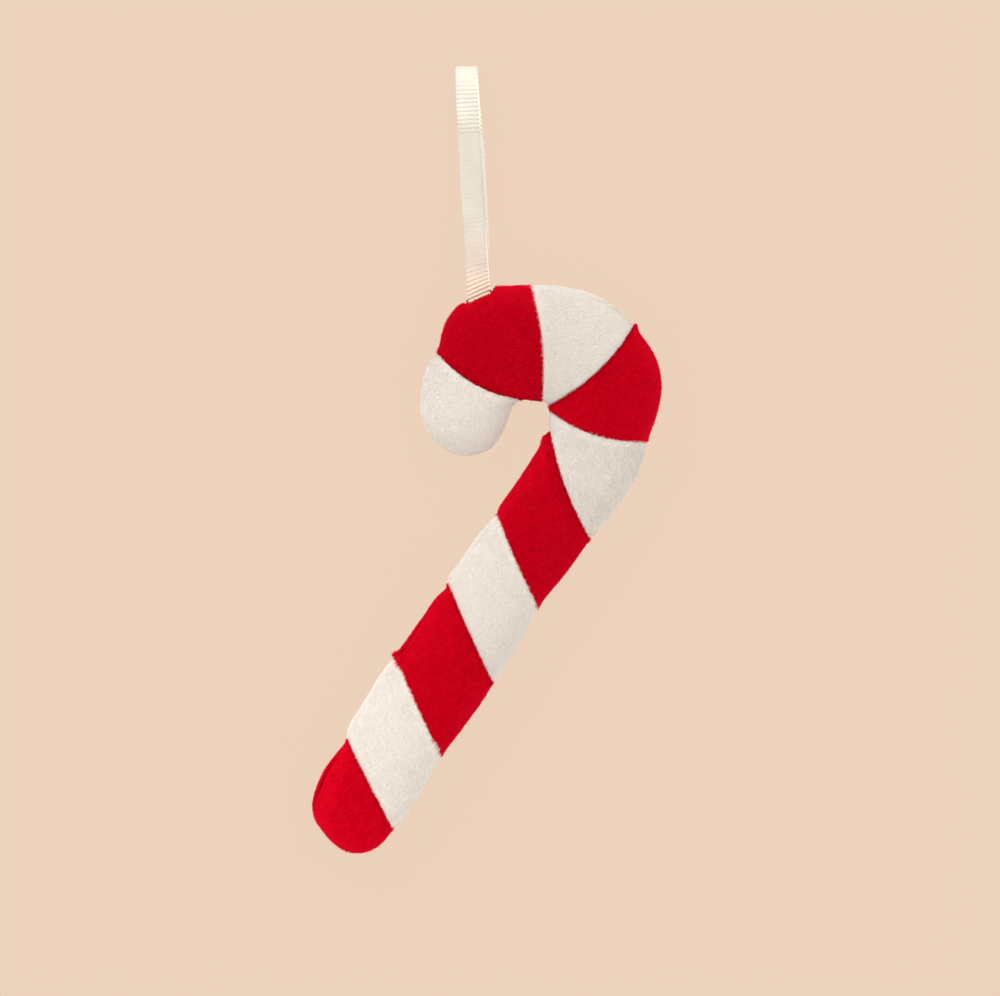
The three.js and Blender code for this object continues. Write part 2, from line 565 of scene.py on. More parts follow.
def grain_group() -> bpy.types.NodeTree:
    """A shader group of brushed fibres: two tones that drift into each other, and a fine relief.

    Returns:
        The node group, built once.
    """
    name = "fibre_grain"
    if name in bpy.data.node_groups:
        return bpy.data.node_groups[name]
    tree = bpy.data.node_groups.new(name, "ShaderNodeTree")
    for label, kind, default in (
        ("Dark", "NodeSocketColor", (0, 0, 0, 1)),
        ("Light", "NodeSocketColor", (1, 1, 1, 1)),
        ("Drift", "NodeSocketFloat", 120.0),
        ("Fineness", "NodeSocketFloat", 2500.0),
    ):
        socket = tree.interface.new_socket(label, in_out="INPUT", socket_type=kind)
        socket.default_value = default
    for label, kind in (("Colour", "NodeSocketColor"), ("Relief", "NodeSocketFloat")):
        tree.interface.new_socket(label, in_out="OUTPUT", socket_type=kind)
    sheet = NodeSheet(tree)
    given = sheet.add("NodeGroupInput").outputs
    place = sheet.out("ShaderNodeTexCoord", "Object")
    fine = sheet.noise(place, given["Fineness"], 1.0)
    both = sheet.math("ADD", sheet.noise(place, given["Drift"], 3.0), fine)
    share = sheet.span(sheet.times(both, 0.5), 0.35, 0.65)
    tones = {"A_Color": given["Dark"], "B_Color": given["Light"]}
    mix = sheet.add("ShaderNodeMix", tones, data_type="RGBA")
    sheet.feed(mix.inputs["Factor"], share)
    colour = sheet.pick(mix.outputs, "Result_Color")
    sheet.add("NodeGroupOutput", {"Colour": colour, "Relief": fine})
    return tree


@dataclass(frozen=True)
class PlushFinish:
    """A short pile cloth: its ground, its fibres' tones, their sheen and how they meet a seam.

    At a seam that the nap leads to, the fibres are longer by the share lap and painted lighter by
    seam_highlight, a painted highlight. At one that it leads away from, they are shorter by bare
    and painted darker by seam_shade, painted shade. trim shortens both, and teeth is how much more
    they are pulled in at each stitch. rim_highlight paints them lighter where the cloth is steep,
    a painted highlight.
    """

    name: str
    ground_dark: Colour
    ground_light: Colour
    fibre_tones: tuple[Colour, ...]
    sheen_tint: Colour
    sheen_weight: float
    lap: float
    bare: float
    seam_highlight: float
    seam_shade: float
    trim: float
    teeth: float
    rim_highlight: float
    sheen_roughness: float = 0.5
    roughness: float = 0.95
    softness: float = 0.8
    relief: float = 0.4
    relief_height: float = 0.2 * MM

    def _soft(self, part: str, extra: dict[str, Any]) -> bpy.types.Material:
        """Makes a matt material, as the ground and the fibres share it.

        Args:
            part: What it is for.
            extra: More values of its shader.

        Returns:
            The material.
        """
        looks = {
            "Roughness": self.roughness,
            "Specular IOR Level": 0.0,
            "Diffuse Roughness": self.softness,
            "Sheen Weight": self.sheen_weight,
            "Sheen Roughness": self.sheen_roughness,
            "Sheen Tint": paint(self.sheen_tint),
        }
        return principled(f"{self.name}_{part}", looks | extra)

    def ground(self, light: float) -> bpy.types.Material:
        """The cloth under the pile, darker than its fibres, as painted shade at the seams.

        Args:
            light: What its colours are multiplied with, the band's painted light and shade.

        Returns:
            Its material.
        """
        material = self._soft("ground", {})
        sheet = NodeSheet(material.node_tree)
        tones = {"Dark": paint(self.ground_dark, light), "Light": paint(self.ground_light, light)}
        grain = sheet.add("ShaderNodeGroup", tones, node_tree=grain_group()).outputs
        sheet.surface(grain["Colour"], grain["Relief"], self.relief, self.relief_height)
        return material

    def fibres(self, light: float) -> list[bpy.types.Material]:
        """One material for each tone of the pile, from the darkest to the lightest.

        Args:
            light: What its colours are multiplied with, the band's painted light and shade.

        Returns:
            The materials.
        """
        return [
            self._soft(f"fibre_{number}", {"Base Color": paint(tone, light)})
            for number, tone in enumerate(self.fibre_tones, 1)
        ]


# The grounds are darker than their fibres: where the pile is short, at the seams, they show as
# painted shade.
FINISHES = {
    Cloth.RED: PlushFinish(
        name="red_plush",
        ground_dark=(0.32, 0.0, 0.005),
        ground_light=(0.46, 0.0, 0.009),
        fibre_tones=((0.55, 0.0, 0.009), (0.61, 0.0, 0.012), (0.72, 0.002, 0.018)),
        sheen_tint=(1.0, 0.008, 0.04),
        sheen_weight=1.0,
        lap=0.15,
        bare=0.4,
        seam_highlight=0.3,
        seam_shade=0.5,
        trim=0.0,
        teeth=0.3,
        rim_highlight=0.3,
    ),
    Cloth.WHITE: PlushFinish(
        name="white_plush",
        ground_dark=(0.69, 0.64, 0.575),
        ground_light=(0.76, 0.715, 0.65),
        fibre_tones=((0.87, 0.81, 0.74), (0.90, 0.845, 0.785), (0.93, 0.885, 0.835)),
        sheen_tint=(1.0, 0.97, 0.9),
        sheen_weight=0.6,
        lap=0.0,
        bare=0.1,
        seam_highlight=0.0,
        seam_shade=0.1,
        trim=0.3,
        teeth=0.6,
        rim_highlight=0.0,
    ),
}

LightTable = tuple[tuple[float, Colour], ...]


@dataclass(frozen=True)
class RibbonFinish:
    """A cream grosgrain with fine lengthwise threads over its ribs.

    The two tables of painted light are pairs of a place along Y in millimetres and what the tones
    are multiplied with there. They paint light and shade along the loop: lighter at the top of its
    fold and on the ribs at its foot, painted highlights, and darker and warmer near the cane and
    along its middle, painted shade. The gaps between the ribs are also painted darker in places,
    painted shade that shows the ribs.
    """

    name: str = "cream_ribbon"
    dark: Colour = (0.50, 0.468, 0.398)
    light: Colour = (0.577, 0.544, 0.468)
    start: float = 76.0
    stop: float = 143.0
    # Painted light and shade on the ribs along the ribbon.
    rib_painted_light: LightTable = (
        (76, (1.55, 1.35, 1.2)),
        (86, (1.0, 0.88, 0.88)),
        (100, (0.9, 0.88, 0.88)),
        (124, (1.0, 1.0, 1.0)),
        (131, (1.18, 1.2, 1.22)),
    )
    # Painted light and shade on the cloth between the ribs.
    gap_painted_light: LightTable = (
        (76, (0.7, 0.55, 0.45)),
        (85, (1.0, 0.87, 0.86)),
        (100, (0.94, 0.92, 0.91)),
        (123, (1.0, 1.0, 1.0)),
        (125, (0.8, 0.8, 0.8)),
        (137, (0.9, 0.92, 0.94)),
        (140, (1.18, 1.2, 1.22)),
    )
    # Painted light on the right edge, where the lower ply lies in the upper's shadow.
    edge_gain: float = 1.6
    edge_slope: float = 0.058
    edge_place: float = 5.46 * MM
    edge_fade: float = 0.12 * MM
    edge_end: float = 138 * MM
    edge_end_fade: float = 3 * MM
    thread_pitch: float = 0.24 * MM
    thread_sway: float = 0.5
    thread_relief: float = 0.5
    thread_height: float = 0.06 * MM
    roughness: float = 0.6
    specular: float = 0.25
    sheen: float = 0.1
    sheen_tint: Colour = (1.0, 0.97, 0.88)

    def _edge_light(self, sheet: NodeSheet, place: Socket) -> Socket:
        """How much lighter the right edge is painted, where the lower ply shows beside the
        upper: painted light that lifts the upper ply's shadow off the lower and makes a bright line.

        Args:
            sheet: The material's nodes.
            place: The place on the ribbon.

        Returns:
            The factor.
        """
        ahead = sheet.axis(place, "Y")
        off = sheet.math("ADD", sheet.axis(place, "X"), sheet.times(ahead, self.edge_slope))
        gain = sheet.span(
            ahead, self.edge_end, self.edge_end + self.edge_end_fade, self.edge_gain, 1.0
        )
        near, far = self.edge_place - self.edge_fade, self.edge_place + self.edge_fade
        return sheet.span(off, near, far, 1.0, gain)

    def _painted_light(self, sheet: NodeSheet, place: Socket, light_table: LightTable) -> Socket:
        """Looks up the painted light and shade along the ribbon.

        Args:
            sheet: The material's nodes.
            place: The place on the ribbon.
            light_table: The table of painted light and shade.

        Returns:
            The factor of painted light and shade.
        """
        share = sheet.span(sheet.axis(place, "Y"), self.start * MM, self.stop * MM)
        ramp = sheet.add("ShaderNodeValToRGB", {"Fac": share})
        stops = ramp.color_ramp.elements
        while len(stops) < len(light_table):
            stops.new(0.5)
        for stop, (where, lighting) in zip(stops, light_table):
            stop.position = (where - self.start) / (self.stop - self.start)
            stop.color = paint(lighting, 0.5)
        return sheet.vector("SCALE", ramp.outputs["Color"], 2.0)

    def material(self, part: str, light_table: LightTable) -> bpy.types.Material:
        """A material of the ribbon; its threads run along Y on the flat of the ribbon.

        Args:
            part: What it is for.
            light_table: Its painted light and shade along the ribbon.

        Returns:
            The material.
        """
        looks = {
            "Roughness": self.roughness,
            "Specular IOR Level": self.specular,
            "Sheen Weight": self.sheen,
            "Sheen Tint": paint(self.sheen_tint),
        }
        material = principled(f"{self.name}_{part}", looks)
        sheet = NodeSheet(material.node_tree)
        tones = {"Dark": paint(self.dark), "Light": paint(self.light)}
        grain = sheet.add("ShaderNodeGroup", tones, node_tree=grain_group()).outputs["Colour"]
        place = sheet.out("ShaderNodeTexCoord", "Object")
        # The grain times the painted light and shade along the ribbon and at its right edge.
        lit_colour = sheet.vector("MULTIPLY", grain, self._painted_light(sheet, place, light_table))
        lit_colour = sheet.vector("SCALE", lit_colour, self._edge_light(sheet, place))
        # A Wave texture has 20 bands to each turn of its scale.
        scale = math.tau / (20 * self.thread_pitch)
        waves = {"Vector": place, "Scale": scale, "Distortion": self.thread_sway}
        threads = sheet.out("ShaderNodeTexWave", "Fac", waves, bands_direction="X")
        sheet.surface(lit_colour, threads, self.thread_relief, self.thread_height)
        return material


# ---------- How the cane is cut ----------


@dataclass(frozen=True)
class BandCut:
    """One band: its edge points on the outer and inner side, and the seam to the next band.

    bow is how far the middle of that seam swings towards the next band. nap is the way that the
    pile lies, in degrees round from +X, and light is how much lighter or darker its cloth is
    painted than that of the other bands: painted light and shade, put into its colours as the light
    falls on each band. flare is how far the band's corners stand out of the side seam: at the near
    seam on the outer and the inner side, then at the far one.
    """

    name: str
    cloth: Cloth
    outer: tuple[Point, ...]
    inner: tuple[Point, ...]
    bow: float
    nap: float
    light: float
    flare: tuple[float, float, float, float]


TIP_END: Point = (-6.8, 32.5)
TOE_END: Point = (-47.1, -73.7)
# Each band's light is painted light and shade: its cloth is made lighter or darker as the light falls
# on it.
BANDS = (
    BandCut(
        name="tip_white",
        cloth=Cloth.WHITE,
        outer=((-14, 36.2), (-17.9, 42.8), (-18.2, 48.9), (-17.0, 55.8), (-14.2, 61.3)),
        inner=((1.1, 34.4), (5.2, 40.0), (7.4, 45.4), (9.7, 47.6)),
        bow=-2.55,
        nap=-80,
        light=0.945,
        flare=(0, 0, -1.0, -0.3),
    ),
    BandCut(
        name="hook_red",
        cloth=Cloth.RED,
        outer=((-11.0, 70.6), (-5.6, 76.6), (2.9, 80.1), (12.2, 80.7)),
        inner=((12.5, 47.8), (15.5, 47.4)),
        bow=1.75,
        nap=28,
        light=0.886,
        flare=(0.6, 0.3, 0.3, 0.2),
    ),
    BandCut(
        name="crown_white",
        cloth=Cloth.WHITE,
        outer=((22.8, 80.1), (33.8, 76.2), (42.0, 69.2)),
        inner=((16.2, 47.3), (17.5, 46.2)),
        bow=2.6,
        nap=5,
        light=0.908,
        flare=(-0.2, -0.4, -0.4, -0.3),
    ),
    BandCut(
        name="shoulder_red",
        cloth=Cloth.RED,
        outer=((47.6, 61.7), (49.8, 53), (48.9, 44.4), (46.1, 36.2)),
        inner=((17.8, 44.8),),
        bow=2.85,
        nap=-50,
        light=0.935,
        flare=(1.7, 0.3, 0.5, 0),
    ),
    BandCut(
        name="neck_white",
        cloth=Cloth.WHITE,
        outer=((43.4, 26.6), (37.3, 17.0), (30.0, 8.1)),
        inner=((18.1, 42.2), (18.1, 39.1)),
        bow=1.7,
        nap=-100,
        light=0.895,
        flare=(-0.5, 0, -0.4, -0.3),
    ),
    BandCut(
        name="upper_red",
        cloth=Cloth.RED,
        outer=((22.7, -1.8), (15.3, -11.3)),
        inner=((16.5, 37.7), (14.9, 34.6), (10.2, 27.2), (4.4, 18.4), (3.1, 15.8)),
        bow=0.5,
        nap=-125,
        light=0.928,
        flare=(0.4, 0.7, 0.4, 0.3),
    ),
    BandCut(
        name="middle_white",
        cloth=Cloth.WHITE,
        outer=((9, -22.3), (2.5, -32.6)),
        inner=((-2.5, 9.2), (-7.1, 2.6), (-10.3, -2.3), (-10.5, -4.3)),
        bow=0.35,
        nap=-115,
        light=0.952,
        flare=(-0.2, -0.3, -0.3, -1.0),
    ),
    BandCut(
        name="lower_red",
        cloth=Cloth.RED,
        outer=((-5.3, -44.2), (-12.2, -53.3)),
        inner=((-14.9, -9.3), (-18.4, -14.1), (-22.4, -20.1), (-25.6, -24.6)),
        bow=0.3,
        nap=-138,
        light=1.0,
        flare=(0.4, 0.9, 0.4, 3.2),
    ),
    BandCut(
        name="heel_white",
        cloth=Cloth.WHITE,
        outer=((-18.1, -63.4), (-23.1, -70.8), (-26.1, -74.3)),
        inner=((-31.1, -31.7), (-35.4, -38.5), (-39.0, -45.5), (-39.5, -48.5)),
        bow=-0.3,
        nap=-115,
        light=1.0,
        flare=(-0.2, -1.1, -0.3, -1.2),
    ),
    BandCut(
        name="toe_red",
        cloth=Cloth.RED,
        outer=((-29.9, -78.5), (-33.9, -80.6), (-38.8, -80.7), (-43.0, -78.4), TOE_END),
        inner=((-46.1, -58.2), (-49.1, -67.9)),
        bow=0,
        nap=-135,
        light=1.092,
        flare=(0.5, 0.5, 0, 0),
    ),
)


RIBBON_ROUTE = (
    (-2.1, 79.1, 9.4), (-2.1, 82, 9.1), (-2.2, 86, 7.6), (-2.25, 91, 5.2), (-2.35, 96.5, 2.9),
    (-2.7, 102.5, 1.4), (-3.05, 109, 0.65), (-3.45, 116, 0.5), (-3.95, 123, 0.5),
    (-4.6, 129.5, 0.6), (-5.1, 135.3, 1.0), (-5.4, 139.5, 2.2), (-5.5, 142.3, 4.2),
    (-5.5, 143.1, 6.6), (-5.5, 141.6, 8.9), (-5.45, 138.2, 10.1), (-5.3, 133.8, 10.1),
    (-5.0, 128, 9.3), (-4.75, 121.5, 8.3), (-4.35, 113.8, 7.6), (-3.95, 106, 7.4),
    (-3.4, 98.5, 8.0), (-2.85, 91.5, 9.2), (-2.45, 85.5, 10.2), (-2.1, 79.1, 10.6),
)
RIBBON_SLANT = 23.5
TACKS: tuple[Point, ...] = ((-5.3, 75.8), (-3.05, 75.8), (1.37, 78.66), (2.39, 79.2))


def curve_points(points: np.ndarray, places: np.ndarray, closed: bool) -> np.ndarray:
    """Points on a centripetal Catmull-Rom curve.

    Args:
        points: The points that the curve passes, one row each.
        places: Where to look, counted in points from the first one.
        closed: Whether the curve joins its ends.

    Returns:
        One row per place.
    """
    count = len(points)
    whole = np.clip(np.floor(places).astype(int), 0, count if closed else count - 2)
    if closed:
        a, b, c, d = (points[(whole + step) % count] for step in (-1, 0, 1, 2))
    else:
        longer = np.vstack([2 * points[0] - points[1], points, 2 * points[-1] - points[-2]])
        a, b, c, d = (longer[whole + step] for step in range(4))
    ab, bc, cd = (
        np.sqrt(np.linalg.norm(q - p, axis=-1, keepdims=True)) for p, q in ((a, b), (b, c), (c, d))
    )
    leave = ((b - a) / ab - (c - a) / (ab + bc) + (c - b) / bc) * bc
    arrive = ((c - b) / bc - (d - b) / (bc + cd) + (d - c) / cd) * bc
    return hermite(b, leave, c, arrive, (places - whole)[..., None])


@dataclass
class CanePattern:
    """The cane's outline and seams in plan, and the height of its stuffing over them."""

    seam_height: float = 10 * MM
    shaft_rise: float = 10 * MM
    crook_extra: float = 2 * MM
    crook_middle: float = 2.7
    crook_spread: float = 1.7
    underside_drop: float = 10.5 * MM
    fullness: float = 0.9
    tip_width: float = 25.4 * MM
    toe_width: float = 28 * MM
    outline: np.ndarray = field(init=False)
    outer_counts: np.ndarray = field(init=False)
    inner_counts: np.ndarray = field(init=False)

    def __post_init__(self) -> None:
        """Strings the bands' points together to one outline."""
        outer = [point for band in BANDS for point in band.outer]
        inner = [point for band in BANDS for point in band.inner]
        self.outline = plan([TIP_END, *outer, *reversed(inner)])
        self.outer_counts = np.cumsum([0] + [len(band.outer) for band in BANDS])
        self.inner_counts = np.cumsum([0] + [len(band.inner) for band in BANDS])

    def outer_edge(self, number: int, along: np.ndarray) -> np.ndarray:
        """A band's outer edge, from 0 at its near seam to 1 at its far one."""
        start, end = self.outer_counts[number : number + 2]
        return curve_points(self.outline, start + (end - start) * along, closed=True)

    def inner_edge(self, number: int, along: np.ndarray) -> np.ndarray:
        """A band's inner edge, where the outline runs the other way."""
        last = len(self.outline)
        start = last - self.inner_counts[number]
        is_toe = number == len(BANDS) - 1
        end = self.outer_counts[-1] if is_toe else last - self.inner_counts[number + 1]
        return curve_points(self.outline, start + (end - start) * along, closed=True)

    def seam_after(self, number: int, across: np.ndarray) -> np.ndarray:
        """The line across the cane after a band.

        Args:
            number: The band, or -1 for the tip's end.
            across: From 0 on the outer side to 1 on the inner side.

        Returns:
            One plan point for each value.
        """
        if number < 0 or number == len(BANDS) - 1:
            end = TIP_END if number < 0 else TOE_END
            return np.broadcast_to(plan([end])[0], (*across.shape, 2))
        band = BANDS[number]
        start, end = plan([band.outer[-1], band.inner[-1]])
        chord = end - start
        towards_toe = unit(np.array([-chord[1], chord[0]]))
        middle = (start + end) / 2 + towards_toe * 2 * band.bow * MM
        share = across[..., None]
        return start * (1 - share) ** 2 + middle * 2 * share * (1 - share) + end * share**2

    def lay(self, number: int, along: np.ndarray, across: np.ndarray) -> np.ndarray:
        """The plan points of one band.

        Args:
            number: The band.
            along: From 0 at the near seam to 1 at the far one.
            across: From 0 on the outer side to 1 on the inner side, of the same shape.

        Returns:
            The plan points.
        """
        t, s = along[..., None], across[..., None]
        near, far = self.seam_after(number - 1, across), self.seam_after(number, across)
        sides = self.outer_edge(number, along) * (1 - s) + self.inner_edge(number, along) * s
        seams = near * (1 - t) + far * t
        ends = np.array([0.0, 1.0])
        near_ends, far_ends = self.seam_after(number - 1, ends), self.seam_after(number, ends)
        outer, inner = (near_ends[side] * (1 - t) + far_ends[side] * t for side in (0, 1))
        return sides + seams - (outer * (1 - s) + inner * s)

    def height(self, number: int, along: np.ndarray, angle: np.ndarray) -> np.ndarray:
        """The height of the stuffed surface.

        Args:
            number: The band.
            along: From 0 at the near seam to 1 at the far one.
            angle: Round the section, from 0 at the outer edge over the top to pi at the inner edge
                and back underneath.

        Returns:
            Heights above the floor.
        """
        edges = [self.lay(number, along, np.full_like(along, side)) for side in (0.0, 1.0)]
        width = np.linalg.norm(edges[1] - edges[0], axis=-1)
        rounding = np.ones_like(width)
        if number == 0:
            rounding = np.minimum(1, width / self.tip_width)
        if number == len(BANDS) - 1:
            rounding = np.minimum(1, width / self.toe_width)
        share = rounding * np.abs(np.sin(angle)) ** self.fullness
        away = (number + along - self.crook_middle) / self.crook_spread
        rise = self.shaft_rise + self.crook_extra * np.exp(-(away**2))
        over = self.seam_height + rise * share
        under = self.seam_height - self.underside_drop * share
        return np.where(np.sin(angle) >= 0, over, np.maximum(0, under))


# ---------- The stuffed skin ----------


def resampled(grid: np.ndarray, places: np.ndarray, axis: int, closed: bool) -> np.ndarray:
    """Smoothly resamples a grid of points along one of its axes.

    Args:
        grid: The points, with the coordinates on the last axis.
        places: Where to look, counted in rows from the first one.
        axis: 0 or 1.
        closed: Whether the last row joins the first.

    Returns:
        The new grid.
    """
    rows = np.moveaxis(grid, axis, 0)
    count = len(rows)
    whole = np.floor(places).astype(int)
    if closed:
        a, b, c, d = (rows[(whole + step) % count] for step in (-1, 0, 1, 2))
    else:
        whole = np.clip(whole, 0, count - 2)
        longer = np.concatenate([[2 * rows[0] - rows[1]], rows, [2 * rows[-1] - rows[-2]]])
        a, b, c, d = (longer[whole + step] for step in range(4))
    share = (places - whole).reshape(-1, *[1] * (rows.ndim - 1))
    return np.moveaxis(hermite(b, (c - a) / 2, c, (d - b) / 2, share), 0, axis)


@dataclass
class StuffedSkin:
    """The cane's cloth as one closed grid, stuffed by a cloth simulation with its seams held."""

    pattern: CanePattern
    rows_per_band: int = 14
    steps_round: int = 64
    pile_depth: float = 0.32 * MM
    floor_height: float = 0.45 * MM
    sim_scale: float = 10.0
    sim_frames: int = 20
    pressure: float = 4.0
    spare_cloth: float = 0.03
    farthest_move: float = 0.7 * MM
    ironing: int = 3
    cloth_quality: int = 6
    cloth_mass: float = 0.3
    stretch: float = 15.0
    shear: float = 7.5
    bending: float = 0.6
    shaft_roll: float = 24.0
    toe_roll: float = 21.0
    roll_onset: float = 0.7
    roll_fade: float = 1.5
    grid: np.ndarray = field(init=False)

    def seam_turn(self, number: int, along: np.ndarray) -> np.ndarray:
        """How far the side seam on the inner side is rolled up into view, in radians.

        Args:
            number: The band.
            along: From 0 at the near seam to 1 at the far one.

        Returns:
            One angle for each place.
        """
        name = BANDS[number].name
        if name == "lower_red":
            return np.radians(self.shaft_roll) * along**self.roll_onset
        if name == "heel_white":
            return np.radians(self.shaft_roll) * (1 - along) ** self.roll_fade
        if name == "toe_red":
            return np.radians(self.toe_roll) * np.sin(np.pi * along) ** self.roll_onset
        return np.zeros_like(along)

    def stations(self, number: int) -> np.ndarray:
        """The rows of a band, from 0 to 1, closer together where the tip and the toe round off."""
        even = np.linspace(0, 1, self.rows_per_band + 1)
        if number == 0:
            return even**2
        if number == len(BANDS) - 1:
            return 1 - (1 - even) ** 2
        return even

    def band_grid(self, number: int) -> np.ndarray:
        """A band's rows of points before it is stuffed.

        Args:
            number: The band.

        Returns:
            Rows from the near seam to the far one, each once round the section.
        """
        along = self.stations(number)[:, None]
        turn = 2 * np.pi * np.arange(self.steps_round)[None, :] / self.steps_round
        along, turn = np.broadcast_arrays(along, turn)
        angle = turn - self.seam_turn(number, along) * (1 - np.cos(turn)) / 2
        flat = self.pattern.lay(number, along, (1 - np.cos(angle)) / 2)
        height = self.pattern.height(number, along, angle)
        return np.concatenate([flat, height[..., None]], axis=-1)

    def make(self) -> None:
        """Builds the grid, draws it in by the depth of the pile and stuffs it."""
        bands = [self.band_grid(number) for number in range(len(BANDS))]
        rows = np.concatenate([band[:-1] for band in bands] + [bands[-1][-1:]])
        self.grid = rows - grid_normals(rows) * self.pile_depth
        self.grid[..., 2] = np.maximum(self.grid[..., 2], self.floor_height)
        log.info("skin: %d rows of %d points", *rows.shape[:2])
        self.stuff()

    def _blown(self, points: np.ndarray, on_seam: np.ndarray) -> np.ndarray:
        """Blows the closed skin up with its seams held.

        Args:
            points: The inner rows' points and the two end points, enlarged for the simulation.
            on_seam: Which rows are held.

        Returns:
            Where the points go.
        """
        count, steps = len(on_seam), self.steps_round
        tip, toe = len(points) - 2, len(points) - 1
        faces = grid_faces(count, steps)
        for step in range(steps):
            on, last = (step + 1) % steps, (count - 1) * steps
            faces += [[tip, on, step], [toe, last + step, last + on]]
        skin = mesh_object("skin_for_stuffing", points, faces)
        numbers = np.arange(count * steps).reshape(count, steps)
        held = skin.vertex_groups.new(name="held")
        pinned = np.union1d(numbers[on_seam], numbers[:, [0, steps // 2]])
        held.add([*pinned.tolist(), tip, toe], 1.0, "REPLACE")
        cloth = skin.modifiers.new("cloth", "CLOTH")
        cloth.point_cache.frame_end = self.sim_frames
        cloth.collision_settings.use_collision = False
        settings = cloth.settings
        settings.quality = self.cloth_quality
        settings.mass = self.cloth_mass
        settings.tension_stiffness = settings.compression_stiffness = self.stretch
        settings.shear_stiffness = self.shear
        settings.bending_stiffness = self.bending
        settings.use_pressure = True
        settings.uniform_pressure_force = self.pressure
        settings.vertex_group_mass = held.name
        settings.shrink_min = -self.spare_cloth
        settings.effector_weights.gravity = 0
        for frame in range(1, self.sim_frames + 1):
            bpy.context.scene.frame_set(frame)
        graph = bpy.context.evaluated_depsgraph_get()
        blown = vectors_of(skin.evaluated_get(graph).data.vertices, "co")
        bpy.context.scene.frame_set(1)
        bpy.data.objects.remove(skin)
        return blown

    def stuff(self) -> None:
        """Stuffs the skin, irons out its fine creases and holds back what moves too far."""
        count, steps = self.grid.shape[0] - 2, self.steps_round
        ends = self.grid[[0, -1]].mean(axis=1)
        points = np.vstack([self.grid[1:-1].reshape(-1, 3), ends]) * self.sim_scale
        on_seam = np.arange(1, count + 1) % self.rows_per_band == 0
        on_seam[[0, -1]] = True
        blown = self._blown(points, on_seam)
        moved = (blown - points)[:-2].reshape(count, steps, 3) / self.sim_scale
        for _ in range(self.ironing):
            moved = (np.roll(moved, 1, axis=1) + 2 * moved + np.roll(moved, -1, axis=1)) / 4
            moved[1:-1] = (moved[:-2] + 2 * moved[1:-1] + moved[2:]) / 4
            moved[on_seam] = 0
            moved[:, [0, steps // 2]] = 0
        far = np.linalg.norm(moved, axis=-1, keepdims=True)
        capped = self.farthest_move * np.tanh(far / self.farthest_move)
        self.grid[1:-1] += moved * capped / np.maximum(far, 1e-9)
        self.grid[..., 2] = np.maximum(self.grid[..., 2], self.floor_height)
        mean, most = capped.mean() / MM, capped.max() / MM
        log.info("stuffing moved the cloth by %.2f mm, at most %.2f mm", mean, most)


def grid_faces(rows: int, steps: int) -> list[list[int]]:
    """Faces of a tube of rows.

    Args:
        rows: How many rows.
        steps: How many points each has.

    Returns:
        Vertex numbers, facing outward.
    """
    faces = []
    for row in range(rows - 1):
        for step in range(steps):
            here, on = row * steps + step, row * steps + (step + 1) % steps
            faces.append([here, on, on + steps, here + steps])
    return faces


def grid_normals(grid: np.ndarray) -> np.ndarray:
    """Outward unit vectors of a tube of rows, also where an end row closes on one point.

    Args:
        grid: Rows of points, each once round.

    Returns:
        One vector per point.
    """
    along = np.gradient(grid, axis=0)
    round_ = np.roll(grid, -1, axis=1) - np.roll(grid, 1, axis=1)
    normals = unit(np.cross(round_, along))
    for end, inside in ((0, 3), (-1, -4)):
        if np.ptp(grid[end], axis=0).max() < 1e-6:
            normals[end] = unit(grid[end] - grid[inside].mean(axis=0))
    return normals


@dataclass(frozen=True)
class SeamDistances:
    """How far each point of a band lies from the four seams round it, and where round its row."""

    near: np.ndarray
    far: np.ndarray
    outer: np.ndarray
    inner: np.ndarray
    place: np.ndarray
    girth: np.ndarray

    @property
    def band(self) -> np.ndarray:
        """The distance to the nearest seam between bands."""
        return np.minimum(self.near, self.far)

    @property
    def corners(self) -> tuple[tuple[np.ndarray, np.ndarray], ...]:
        """The two distances that count at each corner, in the order of BandCut.flare."""
        seams, sides = (self.near, self.far), (self.outer, self.inner)
        return tuple((seam, side) for seam in seams for side in sides)


